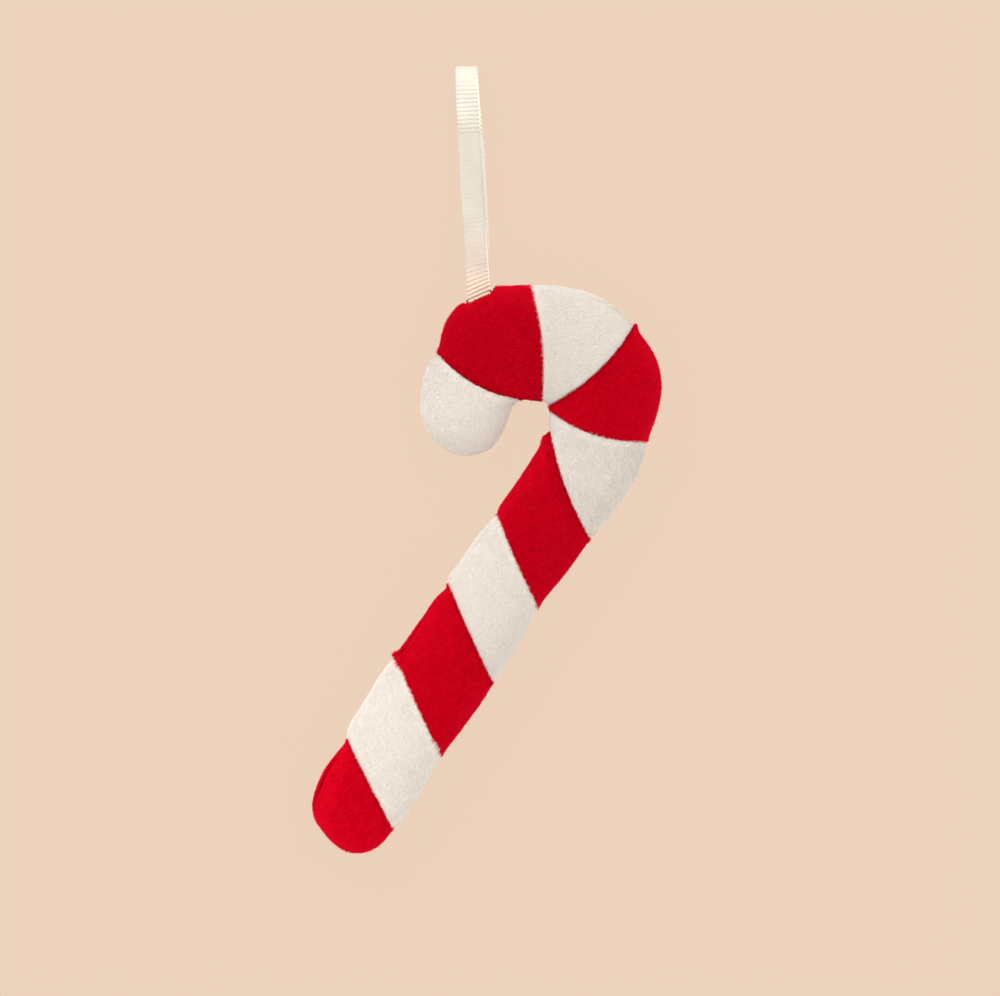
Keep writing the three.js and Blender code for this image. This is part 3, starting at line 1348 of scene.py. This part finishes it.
@dataclass
class SewnBand:
    """One band of the cane: its closed cloth shell and how the pile grows on it.

    The cloth drops by shoulder and furrow into the seams between bands, and by groove into the side
    seam. Where that seam is rolled up, red cloth shows it as a crease with a roll beside it. The
    tuck is where the ribbon draws the cloth in. A thinning is how much shorter the pile is there.
    crease_highlight is how much lighter the pile is painted on the roll, a painted highlight, and
    crease_shade and tuck_shade how much darker on the back panel's edge past the crease and in the
    tuck, painted shade.
    """

    number: int
    skin: StuffedSkin
    rows: int = 44
    columns: int = 216
    seam_gap: float = 0.1 * MM
    shoulder: float = 0.5 * MM
    furrow_depth: float = 0.2 * MM
    furrow_reach: float = 2.2 * MM
    groove_depth: float = 0.5 * MM
    groove_reach: float = 0.6 * MM
    full_girth: float = 25 * MM
    flare_reach: float = 1.8 * MM
    crease_depth: float = 1.0 * MM
    crease_reach: float = 0.8 * MM
    roll_height: float = 0.3 * MM
    tuck_place: float = -2.5 * MM
    tuck_depth: float = 2.9 * MM
    tuck_width: float = 4.1 * MM
    tuck_reach: float = 4.5 * MM
    edge_reach: float = 0.8 * MM
    stitch: float = 1.15 * MM
    softness: float = 0.8
    floor_gap: float = 0.3 * MM
    full_roll: float = 20.0
    tuck_squareness: int = 6
    gap_rows: int = 6
    gap_fade: float = 40.0
    thinning: float = 0.45
    thin_reach: float = 0.7 * MM
    crease_thinning: float = 0.5
    # Painted highlight on the roll beside the crease, and painted shade on the back panel's edge past
    # it.
    crease_highlight: float = 0.8
    crease_highlight_reach: float = 0.5 * MM
    crease_shade: float = 0.4
    crease_shade_reach: float = 3 * MM
    tuck_thinning: float = 0.5
    # Painted shade where the ribbon draws the cloth in.
    tuck_shade: float = 0.4
    tuck_edge: float = 1.5 * MM
    shell: bpy.types.Object | None = None

    @property
    def cut(self) -> BandCut:
        """The band's row in the table."""
        return BANDS[self.number]

    @property
    def finish(self) -> PlushFinish:
        """The finish of the band's cloth."""
        return FINISHES[self.cut.cloth]

    @property
    def is_first(self) -> bool:
        """Whether the band is the tip, which closes on a point."""
        return self.number == 0

    @property
    def is_last(self) -> bool:
        """Whether the band is the toe, which closes on a point."""
        return self.number == len(BANDS) - 1

    @property
    def front(self) -> np.ndarray:
        """Which points of a row lie on the shown side."""
        return np.arange(self.columns) < self.columns // 2

    @property
    def share(self) -> np.ndarray:
        """Where each row lies, from 0 at the near seam to 1 at the far one."""
        return (1 - np.cos(np.pi * np.linspace(0, 1, self.rows))) / 2

    @property
    def rolled(self) -> np.ndarray:
        """How far the side seam on the inner side is rolled up, from 0 to 1 for each row."""
        turn = self.skin.seam_turn(self.number, self.share)
        return np.clip(turn / np.radians(self.full_roll), 0, 1)[:, None]

    @property
    def crease(self) -> np.ndarray:
        """How clearly that seam shows in red cloth, from 0 to 1 for each row."""
        return self.rolled * (self.cut.cloth is Cloth.RED)

    @property
    def hidden(self) -> np.ndarray:
        """How far white pile hides that seam, from 0 to 1 for each row."""
        return self.rolled * (self.cut.cloth is Cloth.WHITE)

    def fine_grid(self) -> np.ndarray:
        """Cuts the band out of the stuffed skin at full detail.

        Returns:
            The rows of points.
        """
        per_band = self.skin.rows_per_band
        first = self.number * per_band
        rows = self.skin.grid[first : first + per_band + 1]
        fine = resampled(rows, self.share * per_band, axis=0, closed=False)
        turns = np.arange(self.columns) / self.columns * self.skin.steps_round
        return resampled(fine, turns, axis=1, closed=True)

    def distances(self, grid: np.ndarray) -> SeamDistances:
        """Measures the way from each point to the seams.

        Args:
            grid: The rows of points.

        Returns:
            The distances.
        """
        steps = np.linalg.norm(np.diff(grid, axis=0), axis=-1)
        walked = np.concatenate([np.zeros((1, self.columns)), np.cumsum(steps, axis=0)])
        never = np.full_like(walked, np.inf)
        steps_round = np.linalg.norm(np.roll(grid, -1, axis=1) - grid, axis=-1)
        place = np.cumsum(steps_round, axis=1) - steps_round
        girth = steps_round.sum(axis=1, keepdims=True)
        return SeamDistances(
            near=never if self.is_first else walked,
            far=never if self.is_last else walked[-1:] - walked,
            outer=np.minimum(place, girth - place),
            inner=np.abs(place - place[:, self.columns // 2, None]),
            place=place,
            girth=girth,
        )

    def tucked(self, grid: np.ndarray, away: SeamDistances) -> np.ndarray:
        """How far the sewn-in ribbon draws the cloth in, from 0 to 1.

        Args:
            grid: The rows of points.
            away: Their distances from the seams.

        Returns:
            One value per point.
        """
        if self.cut.name != "hook_red":
            return np.zeros(grid.shape[:2])
        beside = np.abs(grid[..., 0] - self.tuck_place)
        middle = np.exp(-((beside / self.tuck_width) ** self.tuck_squareness))
        return middle * swell(away.outer, self.tuck_reach)

    def shaped(self, grid: np.ndarray, away: SeamDistances) -> np.ndarray:
        """Rounds the cloth into its seams and lets its corners stand out.

        Args:
            grid: The rows of points.
            away: Their distances from the seams.

        Returns:
            The new rows.
        """
        close = np.clip(self.shoulder - away.band, 0, self.shoulder)
        drop = self.shoulder - np.sqrt(self.shoulder**2 - close**2)
        drop += self.furrow_depth * swell(away.band, self.furrow_reach)
        narrow = np.clip(away.girth / self.full_girth, 0, 1) ** 2
        groove = self.groove_depth * narrow
        drop += groove * swell(away.outer, self.groove_reach)
        drop += groove * (1 - self.hidden) * swell(away.inner, self.groove_reach)
        drop += self.crease_depth * narrow * self.crease * swell(away.inner, self.crease_reach)
        roll = swell(away.inner - 2 * self.crease_reach, self.crease_reach)
        drop -= self.roll_height * narrow * self.crease * roll * self.front
        reach = self.flare_reach
        for size, (from_seam, from_side) in zip(self.cut.flare, away.corners):
            drop -= size * MM * swell(from_seam, reach) * swell(from_side, reach)
        drop += self.tuck_depth * self.tucked(grid, away)
        made = grid - grid_normals(grid) * drop[..., None]
        made[..., 2] = np.maximum(made[..., 2], self.floor_gap)
        return made

    def open_gap(self, grid: np.ndarray) -> np.ndarray:
        """Moves the end rows off the seams by half the gap.

        Args:
            grid: The rows of points.

        Returns:
            The new rows.
        """
        made = grid.copy()
        rows = np.linspace(0, 1, len(grid))[:, None, None]
        if not self.is_first:
            step = unit(grid[self.gap_rows] - grid[0]) * self.seam_gap / 2
            made += step[None] * np.exp(-rows * self.gap_fade)
        if not self.is_last:
            step = unit(grid[-1 - self.gap_rows] - grid[-1]) * self.seam_gap / 2
            made += step[None] * np.exp(-(1 - rows) * self.gap_fade)
        return made

    def sew(self) -> None:
        """Makes the band's cloth shell."""
        flat = self.fine_grid()
        away = self.distances(flat)
        grid = self.open_gap(self.shaped(flat, away))
        faces = grid_faces(self.rows, self.columns)
        skin_faces = len(faces)
        ends = [] if self.is_first else [0]
        ends += [] if self.is_last else [self.rows - 1]
        for first in ends:
            for step in range(self.columns // 2):
                top = first * self.columns + step
                under = first * self.columns + (self.columns - step) % self.columns
                beside = under - 1 if step else under - 1 + self.columns
                faces.append([top, top + 1, beside, under])
        mesh = bpy.data.meshes.new(f"{self.cut.name}_cloth")
        mesh.from_pydata(grid.reshape(-1, 3).tolist(), [], [list(dict.fromkeys(f)) for f in faces])
        bears = mesh.attributes.new("bears_pile", "BOOLEAN", "FACE")
        bears.data.foreach_set("value", [number < skin_faces for number in range(len(faces))])
        self.plan_pile(mesh, flat, grid, away)
        close_up(mesh, 1e-6)
        mesh.materials.append(self.finish.ground(self.cut.light))
        self.shell = linked(f"{self.cut.name}_cloth", mesh)

    def nap(self, outward: np.ndarray) -> np.ndarray:
        """The way that the pile lies, bent along the cloth.

        Args:
            outward: The cloth's outward vectors.

        Returns:
            One vector per point.
        """
        turn = math.radians(self.cut.nap)
        way = np.array([math.cos(turn), math.sin(turn), 0.0])
        facing = np.zeros(3) + np.where(self.front, 1.0, -1.0)[:, None] * np.array([0.0, 0.0, 1.0])
        bent = (outward @ way) / np.maximum(1 + (outward * facing).sum(axis=-1), 0.1)
        return unit(way - bent[..., None] * (outward + facing))

    def plan_pile(
        self, mesh: bpy.types.Mesh, flat: np.ndarray, grid: np.ndarray, away: SeamDistances
    ) -> None:
        """Stores on each point how the pile grows there.

        nap is the way it lies, cover its length as a share of the full one, shade how much lighter
        or darker it is painted, all of it painted light and shade, and fringe how tufted. soft_normal
        is the way the whole surface faces.

        Args:
            mesh: The shell's mesh, with the grid's points in order.
            flat: The rows of points before the cloth was rounded into its seams.
            grid: The rows of points.
            away: Their distances from the seams.
        """
        outward = grid_normals(grid)
        nap = self.nap(outward)
        to_seam = unit(np.gradient(grid, axis=0)) * np.where(away.near < away.far, -1, 1)[..., None]
        lead = (nap * to_seam).sum(axis=-1)
        edge = swell(away.band, self.edge_reach)
        style = self.finish
        cover = 1 + edge * np.where(lead > 0, style.lap * lead, style.bare * lead)
        stitched = 0.5 + 0.5 * np.sin(2 * np.pi * away.place / self.stitch)
        cover *= 1 - edge * (style.trim + style.teeth * stitched * np.clip(lead, 0, 1))
        # Painted light and shade at the seams: the pile is lighter where the nap leads to a seam and
        # darker where it leads away.
        shade = edge * np.where(lead > 0, style.seam_highlight, style.seam_shade) * lead
        # Painted highlight: the pile is lighter where the cloth is steep.
        shade += style.rim_highlight * (1 - outward[..., 2] ** 2)
        cover *= 1 - self.thinning * swell(away.outer, self.thin_reach)
        cover *= 1 - self.thinning * (1 - self.hidden) * swell(away.inner, self.thin_reach)
        cover *= 1 - self.crease_thinning * self.crease * swell(away.inner, self.crease_reach)
        # Painted highlight on the roll beside the crease, painted shade on the back panel's edge past
        # it.
        lit = swell(away.inner - 1.5 * self.crease_reach, self.crease_highlight_reach)
        shade += self.crease_highlight * self.crease * self.front * lit
        dim = swell(away.inner, self.crease_shade_reach)
        shade -= self.crease_shade * self.crease * ~self.front * dim
        tuck = self.tucked(grid, away) * swell(away.outer, self.tuck_edge)
        cover *= 1 - self.tuck_thinning * tuck
        # Painted shade in the tuck.
        shade -= self.tuck_shade * tuck
        for name, values in (("cover", cover), ("shade", shade), ("fringe", edge)):
            layer = mesh.attributes.new(name, "FLOAT", "POINT")
            layer.data.foreach_set("value", values.reshape(-1).astype(np.float32))
        ease = self.softness * (1 - self.crease * swell(away.inner, 3 * self.crease_reach))
        ease = ease[..., None]
        soft = unit(ease * grid_normals(flat) + (1 - ease) * outward)
        for name, vectors in (("nap", nap), ("soft_normal", soft)):
            layer = mesh.attributes.new(name, "FLOAT_VECTOR", "POINT")
            layer.data.foreach_set("vector", vectors.reshape(-1).astype(np.float32))

    def dress(self) -> None:
        assert self.shell is not None
        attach(self.shell, BODY)
        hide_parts(self.cut.name)


# ---------- The pile ----------


@dataclass
class PlushPile:
    """Short fibres all over the bands, made by one Geometry Nodes tree.

    A fibre is dark where its tone is under dark_below and light where it is over light_above.
    """

    density: float = 24 / MM**2
    length: float = 1.8 * MM
    lengths: tuple[float, float] = (0.7, 1.15)
    width: float = 0.18 * MM
    spike_radius: float = 0.577
    lean: float = 3.8
    upright: float = 0.45
    unruly: float = 0.5
    root_depth: float = 0.15 * MM
    tone_patches: float = 260.0
    patch_share: float = 0.4
    chance_share: float = 0.6
    dark_below: float = 0.42
    light_above: float = 0.6
    tuft_size: float = 1.1 * MM
    tuft_noise: tuple[float, float] = (0.35, 0.65)
    tuft_change: tuple[float, float] = (-0.4, 0.15)
    floor_gap: float = 0.02 * MM
    own_light: float = 1.2
    helpers: tuple[str, ...] = (
        "root_normal", "lit_normal", "soft_normal", "tone", "nap", "cover", "shade", "fringe"
    )
    tree: GeometryTree = field(init=False)

    def __post_init__(self) -> None:
        """Builds the tree."""
        self.tree = self._build()

    def _build(self) -> GeometryTree:
        """Scatters thin three-sided spikes that lean with the nap.

        Returns:
            The tree.
        """
        given = {
            "Density": self.density,
            "Length": self.length,
            "Width": self.width,
            "Lean": self.lean,
            "Unruly": self.unruly,
            "Tuft size": self.tuft_size,
            "Seed": SEED,
        }
        tree = GeometryTree("plush_pile", {**given, "Dark": None, "Body": None, "Light": None})
        scattering = {
            "Mesh": tree.given["Geometry"],
            "Selection": tree.attribute("bears_pile", "BOOLEAN"),
            "Density": tree.given["Density"],
            "Seed": tree.given["Seed"],
        }
        scatter = tree.add("GeometryNodeDistributePointsOnFaces", scattering).outputs
        normal = scatter["Normal"]
        soft = tree.attribute("soft_normal", "FLOAT_VECTOR")
        points = tree.store(scatter["Points"], "tone", self._tone(tree))
        points = tree.store(points, "root_normal", normal, "FLOAT_VECTOR")
        points = tree.store(points, "lit_normal", soft, "FLOAT_VECTOR")
        cone = {"Vertices": 3, "Radius Top": 0.0, "Radius Bottom": self.spike_radius, "Depth": 1.0}
        width = tree.given["Width"]
        scale = {"X": width, "Y": width, "Z": self._reach(tree)}
        planting = {
            "Points": points,
            "Instance": tree.out("GeometryNodeMeshCone", "Mesh", cone, fill_type="NGON"),
            "Rotation": self._stance(tree, normal),
            "Scale": tree.out("ShaderNodeCombineXYZ", "Vector", scale),
        }
        planted = tree.out("GeometryNodeInstanceOnPoints", "Instances", planting)
        down = tree.vector("SCALE", tree.attribute("root_normal", "FLOAT_VECTOR"), -self.root_depth)
        sinking = {"Instances": planted, "Translation": down, "Local Space": False}
        sunk = tree.out("GeometryNodeTranslateInstances", "Instances", sinking)
        mesh = tree.out("GeometryNodeRealizeInstances", "Geometry", {"Geometry": sunk})
        lifted = tree.vector("MAXIMUM", tree.place(), (-10, -10, self.floor_gap))
        lifting = {"Geometry": mesh, "Position": lifted}
        mesh = tree.out("GeometryNodeSetPosition", "Geometry", lifting)
        tree.add("NodeGroupOutput", {"Geometry": self._dyed(tree, mesh)})
        return tree

    def _stance(self, tree: GeometryTree, normal: Socket) -> Socket:
        """How each fibre is turned: up and along the nap, less so at a seam, with some chance.

        Args:
            tree: The tree.
            normal: The cloth's normal at its root.

        Returns:
            The rotation.
        """
        upright = tree.times(tree.attribute("fringe"), self.upright)
        lean = tree.times(tree.given["Lean"], tree.math("SUBTRACT", 1.0, upright))
        leaning = tree.vector("SCALE", tree.attribute("nap", "FLOAT_VECTOR"), lean)
        ends = {"Min": (-1, -1, -1), "Max": (1, 1, 1), "Seed": tree.given["Seed"]}
        stray = tree.out("FunctionNodeRandomValue", "Value", ends, data_type="FLOAT_VECTOR")
        stray = tree.vector("SCALE", stray, tree.given["Unruly"])
        aim = tree.vector("ADD", tree.vector("ADD", normal, leaning), stray)
        spin = {"Axis": (0, 0, 1), "Angle": tree.chance(0.0, math.tau, tree.seed(1))}
        rolled = tree.out("FunctionNodeAxisAngleToRotation", "Rotation", spin)
        turning = {"Rotation": rolled, "Vector": aim}
        return tree.out("FunctionNodeAlignRotationToVector", "Rotation", turning, axis="Z")

    def _reach(self, tree: GeometryTree) -> Socket:
        """How long each fibre is; beside a seam the pile is tufted.

        Args:
            tree: The tree.

        Returns:
            The length.
        """
        clouds = tree.noise(tree.place(), tree.math("DIVIDE", 1.0, tree.given["Tuft size"]), 0.0)
        tufts = tree.span(clouds, *self.tuft_noise, *self.tuft_change, "SMOOTHSTEP")
        tufted = tree.times(tufts, tree.attribute("fringe"))
        share = tree.times(tree.attribute("cover"), tree.math("ADD", 1.0, tufted))
        return tree.times(share, tree.chance(*self.lengths, tree.seed(2)), tree.given["Length"])

    def _tone(self, tree: GeometryTree) -> Socket:
        """A number for each fibre, about 0 to 1: its patch of the cloth, some chance and its shade,
        which is painted light and shade.

        Args:
            tree: The tree.

        Returns:
            The number.
        """
        patch = tree.noise(tree.place(), self.tone_patches, 2.0)
        chance = tree.chance(0.0, self.chance_share, tree.seed(3))
        drawn = tree.math("ADD", tree.times(patch, self.patch_share), chance)
        # The shade attribute adds the painted light and shade.
        return tree.math("ADD", drawn, tree.attribute("shade"))

    def _dyed(self, tree: GeometryTree, mesh: Socket) -> Socket:
        """Gives each fibre one of the three tones, by chance and by its painted light and shade.

        Args:
            tree: The tree.
            mesh: The fibres.

        Returns:
            The fibres with their materials.
        """
        tone = tree.attribute("tone")
        dark = tree.math("LESS_THAN", tone, self.dark_below)
        light = tree.math("GREATER_THAN", tone, self.light_above)
        for label, chosen in (("Body", True), ("Dark", dark), ("Light", light)):
            mesh = tree.dye(mesh, label, chosen)
        return mesh

    def grow(self, band: SewnBand) -> bpy.types.Object:
        """Grows the pile of one band.

        Args:
            band: The band, already sewn.

        Returns:
            The pile, a piece of its own.
        """
        assert band.shell is not None
        pile = linked(f"{band.cut.name}_pile", band.shell.data.copy())
        pile.data.materials.clear()
        dark, body, light = band.finish.fibres(band.cut.light)
        values = {"Dark": dark, "Body": body, "Light": light, "Seed": SEED + 10 * band.number}
        self.tree.run(pile, values)
        self._smooth_light(pile.data)
        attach(pile, BODY)
        return pile

    def _smooth_light(self, mesh: bpy.types.Mesh) -> None:
        """Lets the fibres take the light partly as the soft surface that they make together.

        Args:
            mesh: The fibres, with the cloth's normal stored on each point.
        """
        normals = vectors_of(mesh.attributes["lit_normal"].data, "vector")
        mesh.shade_smooth()
        mixed = normals + self.own_light * vectors_of(mesh.vertex_normals, "vector")
        mesh.normals_split_custom_set_from_vertices(unit(mixed))
        for name in self.helpers:
            if name in mesh.attributes:
                mesh.attributes.remove(mesh.attributes[name])


# ---------- The ribbon ----------


@dataclass
class RibbonLoop:
    """A flat grosgrain ribbon folded into a loop, with both ends sewn into the side seam."""

    width: float = 6.35 * MM
    thickness: float = 0.36 * MM
    edge_inset: float = 0.1 * MM
    rib_pitch: float = 1.2 * MM
    rib_width: float = 1.34 * MM
    rib_height: float = 0.56 * MM
    bar_points: int = 13
    bar_sides: int = 10
    end_squareness: float = 12.0
    end_rounding: float = 0.25
    spread: float = 0.28
    spread_base: float = 81 * MM
    spread_fade: float = 3 * MM
    smooth_length: tuple[float, float] = (88 * MM, 124.5 * MM)
    smooth_fade: float = 1.5 * MM
    smooth_share: float = 0.72
    hidden_end: float = 3.2 * MM
    slant: float = RIBBON_SLANT
    slant_reach: float = 12 * MM
    route_steps: int = 4000
    stations: int = 280
    finish: RibbonFinish = RibbonFinish()

    @property
    def points(self) -> np.ndarray:
        """The route's points in metres."""
        return np.array(RIBBON_ROUTE) * MM

    def line(self, count: int, hidden: float = 0.0) -> np.ndarray:
        """The ribbon's middle line as evenly spaced points.

        Args:
            count: How many points.
            hidden: How far it goes on straight beyond both ends, into the seam.

        Returns:
            One row per point.
        """
        places = np.linspace(0, len(RIBBON_ROUTE) - 1, self.route_steps)
        dense = curve_points(self.points, places, closed=False)
        if hidden:
            into = np.array([0, -hidden, 0])
            dense = np.vstack([dense[0] + into, dense, dense[-1] + into])
        walked = np.concatenate([[0], np.cumsum(np.linalg.norm(np.diff(dense, axis=0), axis=1))])
        even = np.linspace(0, walked[-1], count)
        return np.stack([np.interp(even, walked, dense[:, axis]) for axis in range(3)], axis=1)

    @property
    def length(self) -> float:
        """The ribbon's length along its middle line."""
        return float(np.linalg.norm(np.diff(self.line(2000), axis=0), axis=1).sum())

    def weave_core(self) -> bpy.types.Object:
        """The thin cloth between the ribs.

        Returns:
            The strip as a closed mesh.
        """
        line = self.line(self.stations, self.hidden_end)
        ahead = unit(np.gradient(line, axis=0))
        side = unit(np.array([1.0, 0, 0]) - ahead * ahead[:, :1])
        up = np.cross(side, ahead)
        half_width, half_thick = self.width / 2 - self.edge_inset, self.thickness / 2
        top = ((-1, 0.5), (-0.97, 1), (-0.5, 1), (0, 1), (0.5, 1), (0.97, 1), (1, 0.5))
        section = [(-1, -0.5), *top, *((x, -y) for x, y in reversed(top[1:]))]
        rows = np.stack(
            [line + side * x * half_width + up * y * half_thick for x, y in section], axis=1
        )
        size = len(section)
        faces = grid_faces(self.stations, size)
        faces.append(list(range(size)))
        faces.append(list(range((self.stations - 1) * size, self.stations * size)))
        core = mesh_object("ribbon_loop_cloth", rows.reshape(-1, 3), faces)
        core.data.materials.append(self.finish.material("core", self.finish.gap_painted_light))
        return core

    def weave_ribs(self) -> bpy.types.Object:
        """The ribs across the ribbon, made by a Geometry Nodes tree along its middle line.

        Returns:
            The ribs as a plain mesh.
        """
        line = self.line(self.stations, self.hidden_end)
        mesh = bpy.data.meshes.new("ribbon_loop_ribs")
        edges = [[number, number + 1] for number in range(len(line) - 1)]
        mesh.from_pydata(line.tolist(), edges, [])
        ribs = linked("ribbon_loop_ribs", mesh)
        given = {
            "Pitch": self.rib_pitch,
            "Across": self.width,
            "Rib width": self.rib_width,
            "Rib height": self.rib_height,
            "Spread": self.spread,
        }
        tree = GeometryTree("grosgrain_ribs", {**given, "Finish": None})
        path = tree.out("GeometryNodeMeshToCurve", "Curve", {"Mesh": tree.given["Geometry"]})
        spacing = {"Curve": path, "Length": tree.given["Pitch"]}
        spots = tree.add("GeometryNodeCurveToPoints", spacing, mode="LENGTH").outputs
        axes = {"Primary Axis": spots["Tangent"], "Secondary Axis": (1, 0, 0)}
        ways = {"primary_axis": "Y", "secondary_axis": "X"}
        wide = tree.times(tree.given["Rib width"], self._narrowing(tree), 0.5)
        high = tree.times(tree.given["Rib height"], self._flattening(tree))
        placing = {
            "Points": spots["Points"],
            "Instance": self._bar(tree),
            "Rotation": tree.out("FunctionNodeAxesToRotation", "Rotation", axes, **ways),
            "Scale": tree.out("ShaderNodeCombineXYZ", "Vector", {"X": 1.0, "Y": wide, "Z": high}),
        }
        placed = tree.out("GeometryNodeInstanceOnPoints", "Instances", placing)
        solid = tree.out("GeometryNodeRealizeInstances", "Geometry", {"Geometry": placed})
        solid = tree.out("GeometryNodeSetShadeSmooth", "Geometry", {"Geometry": solid})
        tree.add("NodeGroupOutput", {"Geometry": tree.dye(solid, "Finish")})
        tree.run(ribs, {"Finish": self.finish.material("ribs", self.finish.rib_painted_light)})
        return ribs

    def _narrowing(self, tree: GeometryTree) -> Socket:
        """How wide a rib is as a share: less near the cane, where the ribs spread.

        Args:
            tree: The tree.

        Returns:
            The share.
        """
        start, stop = self.spread_base - self.spread_fade, self.spread_base + self.spread_fade
        base = tree.span(tree.axis(tree.place(), "Y"), start, stop, 1.0, 0.0, "SMOOTHSTEP")
        return tree.math("SUBTRACT", 1.0, tree.times(base, tree.given["Spread"]))

    def _flattening(self, tree: GeometryTree) -> Socket:
        """Half a rib's height as a share: less along the middle of the loop, where it is smooth.

        Args:
            tree: The tree.

        Returns:
            The share.
        """
        ahead = tree.axis(tree.place(), "Y")
        fade = self.smooth_fade
        start, stop = self.smooth_length
        past = tree.span(ahead, start - fade, start + fade, 0.0, 1.0, "SMOOTHSTEP")
        before = tree.span(ahead, stop - fade, stop + fade, 1.0, 0.0, "SMOOTHSTEP")
        smooth = tree.times(past, before, 1 - self.smooth_share)
        return tree.times(tree.math("SUBTRACT", 1.0, smooth), 0.5)

    def _bar(self, tree: GeometryTree) -> Socket:
        """One rib as a round bar across X, rounded off at its ends.

        Args:
            tree: The tree.

        Returns:
            Its mesh.
        """
        half = tree.times(tree.given["Across"], 0.5)
        start = tree.out("ShaderNodeCombineXYZ", "Vector", {"X": tree.times(half, -1.0)})
        stop = tree.out("ShaderNodeCombineXYZ", "Vector", {"X": half})
        bar = tree.out("GeometryNodeCurvePrimitiveLine", "Curve", {"Start": start, "End": stop})
        cutting = {"Curve": bar, "Count": self.bar_points}
        bar = tree.out("GeometryNodeResampleCurve", "Curve", cutting)
        share = tree.out("GeometryNodeSplineParameter", "Factor")
        off = tree.math("ABSOLUTE", tree.math("SUBTRACT", tree.times(share, 2.0), 1.0))
        rounded = tree.times(tree.math("POWER", off, self.end_squareness), -self.end_rounding)
        rounding = {"Curve": bar, "Radius": tree.math("ADD", 1.0, rounded)}
        bar = tree.out("GeometryNodeSetCurveRadius", "Curve", rounding)
        circle = {"Resolution": self.bar_sides, "Radius": 1.0}
        ring = tree.out("GeometryNodeCurvePrimitiveCircle", "Curve", circle)
        sweep = {"Curve": bar, "Profile Curve": ring, "Fill Caps": True}
        bars = tree.add("GeometryNodeCurveToMesh", sweep)
        if "Scale" in bars.inputs:
            tree.feed(bars.inputs["Scale"], tree.out("GeometryNodeInputRadius", "Radius"))
        return bars.outputs["Mesh"]

    def slant_ends(self, obj: bpy.types.Object) -> None:
        """Slides the cloth along itself near the cane, so that both ends follow the slanted seam.

        Args:
            obj: A piece of the ribbon.
        """
        places = vectors_of(obj.data.vertices, "co")
        seam = self.points[0]
        share = np.clip(1 - (places[:, 1] - seam[1]) / self.slant_reach, 0, 1)
        slope = math.tan(math.radians(self.slant))
        places[:, 1] += (places[:, 0] - seam[0]) * slope * share
        obj.data.vertices.foreach_set("co", places.reshape(-1))
        obj.data.update()

    def make(self) -> None:
        core, ribs = self.weave_core(), self.weave_ribs()
        for piece in (core, ribs):
            self.slant_ends(piece)
            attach(piece, BODY)
        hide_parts("ribbon_loop")
        self.length
        count = round(self.length / self.rib_pitch)
        log.info("ribbon: %.1f mm long, %d ribs", self.length / MM, count)


@dataclass
class RibbonTacks:
    """Short stitches of red thread that hold the ribbon at the edge of the cloth."""

    thread: float = 0.6 * MM
    reach: float = 1.3 * MM
    above_cloth: float = 0.35 * MM
    slant: float = RIBBON_SLANT
    look_from: float = 30 * MM
    edge_height: float = 11 * MM
    # Dark, so that the stitches paint the shade in the seam's opening where the ribbon goes in.
    colour: Colour = (0.26, 0.0, 0.008)
    roughness: float = 0.7

    def _height(self, cloth: bpy.types.Object, place: Point) -> float:
        """Finds the cloth's surface.

        Args:
            cloth: The band's shell.
            place: Where in plan, in millimetres.

        Returns:
            Its height there, or at the nearest point of the cloth.
        """
        above = (place[0] * MM, place[1] * MM, self.look_from)
        hit, spot, *_ = cloth.ray_cast(above, (0, 0, -1))
        if not hit:
            _, spot, *_ = cloth.closest_point_on_mesh((*above[:2], self.edge_height))
        return spot[2]

    def make(self, cloth: bpy.types.Object) -> None:
        """Makes the stitches as one piece.

        Args:
            cloth: The shell of the band that the ribbon is sewn into.
        """
        shape = bmesh.new()
        turn = Matrix.Rotation(math.radians(self.slant), 4, "Z")
        size = Matrix.Diagonal((self.thread / 2, self.reach / 2, self.thread / 2, 1.0))
        for place in TACKS:
            height = self._height(cloth, place) + self.above_cloth
            spot = Matrix.Translation((place[0] * MM, place[1] * MM, height))
            bmesh.ops.create_uvsphere(
                shape, u_segments=12, v_segments=8, radius=1.0, matrix=spot @ turn @ size
            )
        mesh = bpy.data.meshes.new("ribbon_tacks")
        shape.to_mesh(mesh)
        shape.free()
        mesh.shade_smooth()
        # Dark thread: painted shade in the seam's opening beside the ribbon.
        inputs = {"Base Color": paint(self.colour), "Roughness": self.roughness}
        mesh.materials.append(principled("red_thread", inputs))
        tacks = linked("ribbon_tacks", mesh)
        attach(tacks, BODY)


# ---------- The whole scene ----------


def main() -> None:
    """Builds the studio, the ribbon, the bands and their pile."""
    logging.basicConfig(level=logging.INFO, format="%(name)s: %(message)s")
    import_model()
    studio = Studio()
    studio.place_camera()
    RibbonLoop().make()
    skin = StuffedSkin(CanePattern())
    skin.make()
    pile = PlushPile()
    for number, cut in enumerate(BANDS):
        band = SewnBand(number, skin)
        band.sew()
        band.dress()
        fibres = pile.grow(band)
        if cut.name == "hook_red":
            bpy.context.view_layer.update()
            RibbonTacks().make(band.shell)
        counts = (len(band.shell.data.polygons), len(fibres.data.polygons))
        log.info("%s: %d faces, %d in its pile", cut.name, *counts)
    studio.lay_floor()
    studio.hang_lights()


if __name__ == "__main__":
    main()
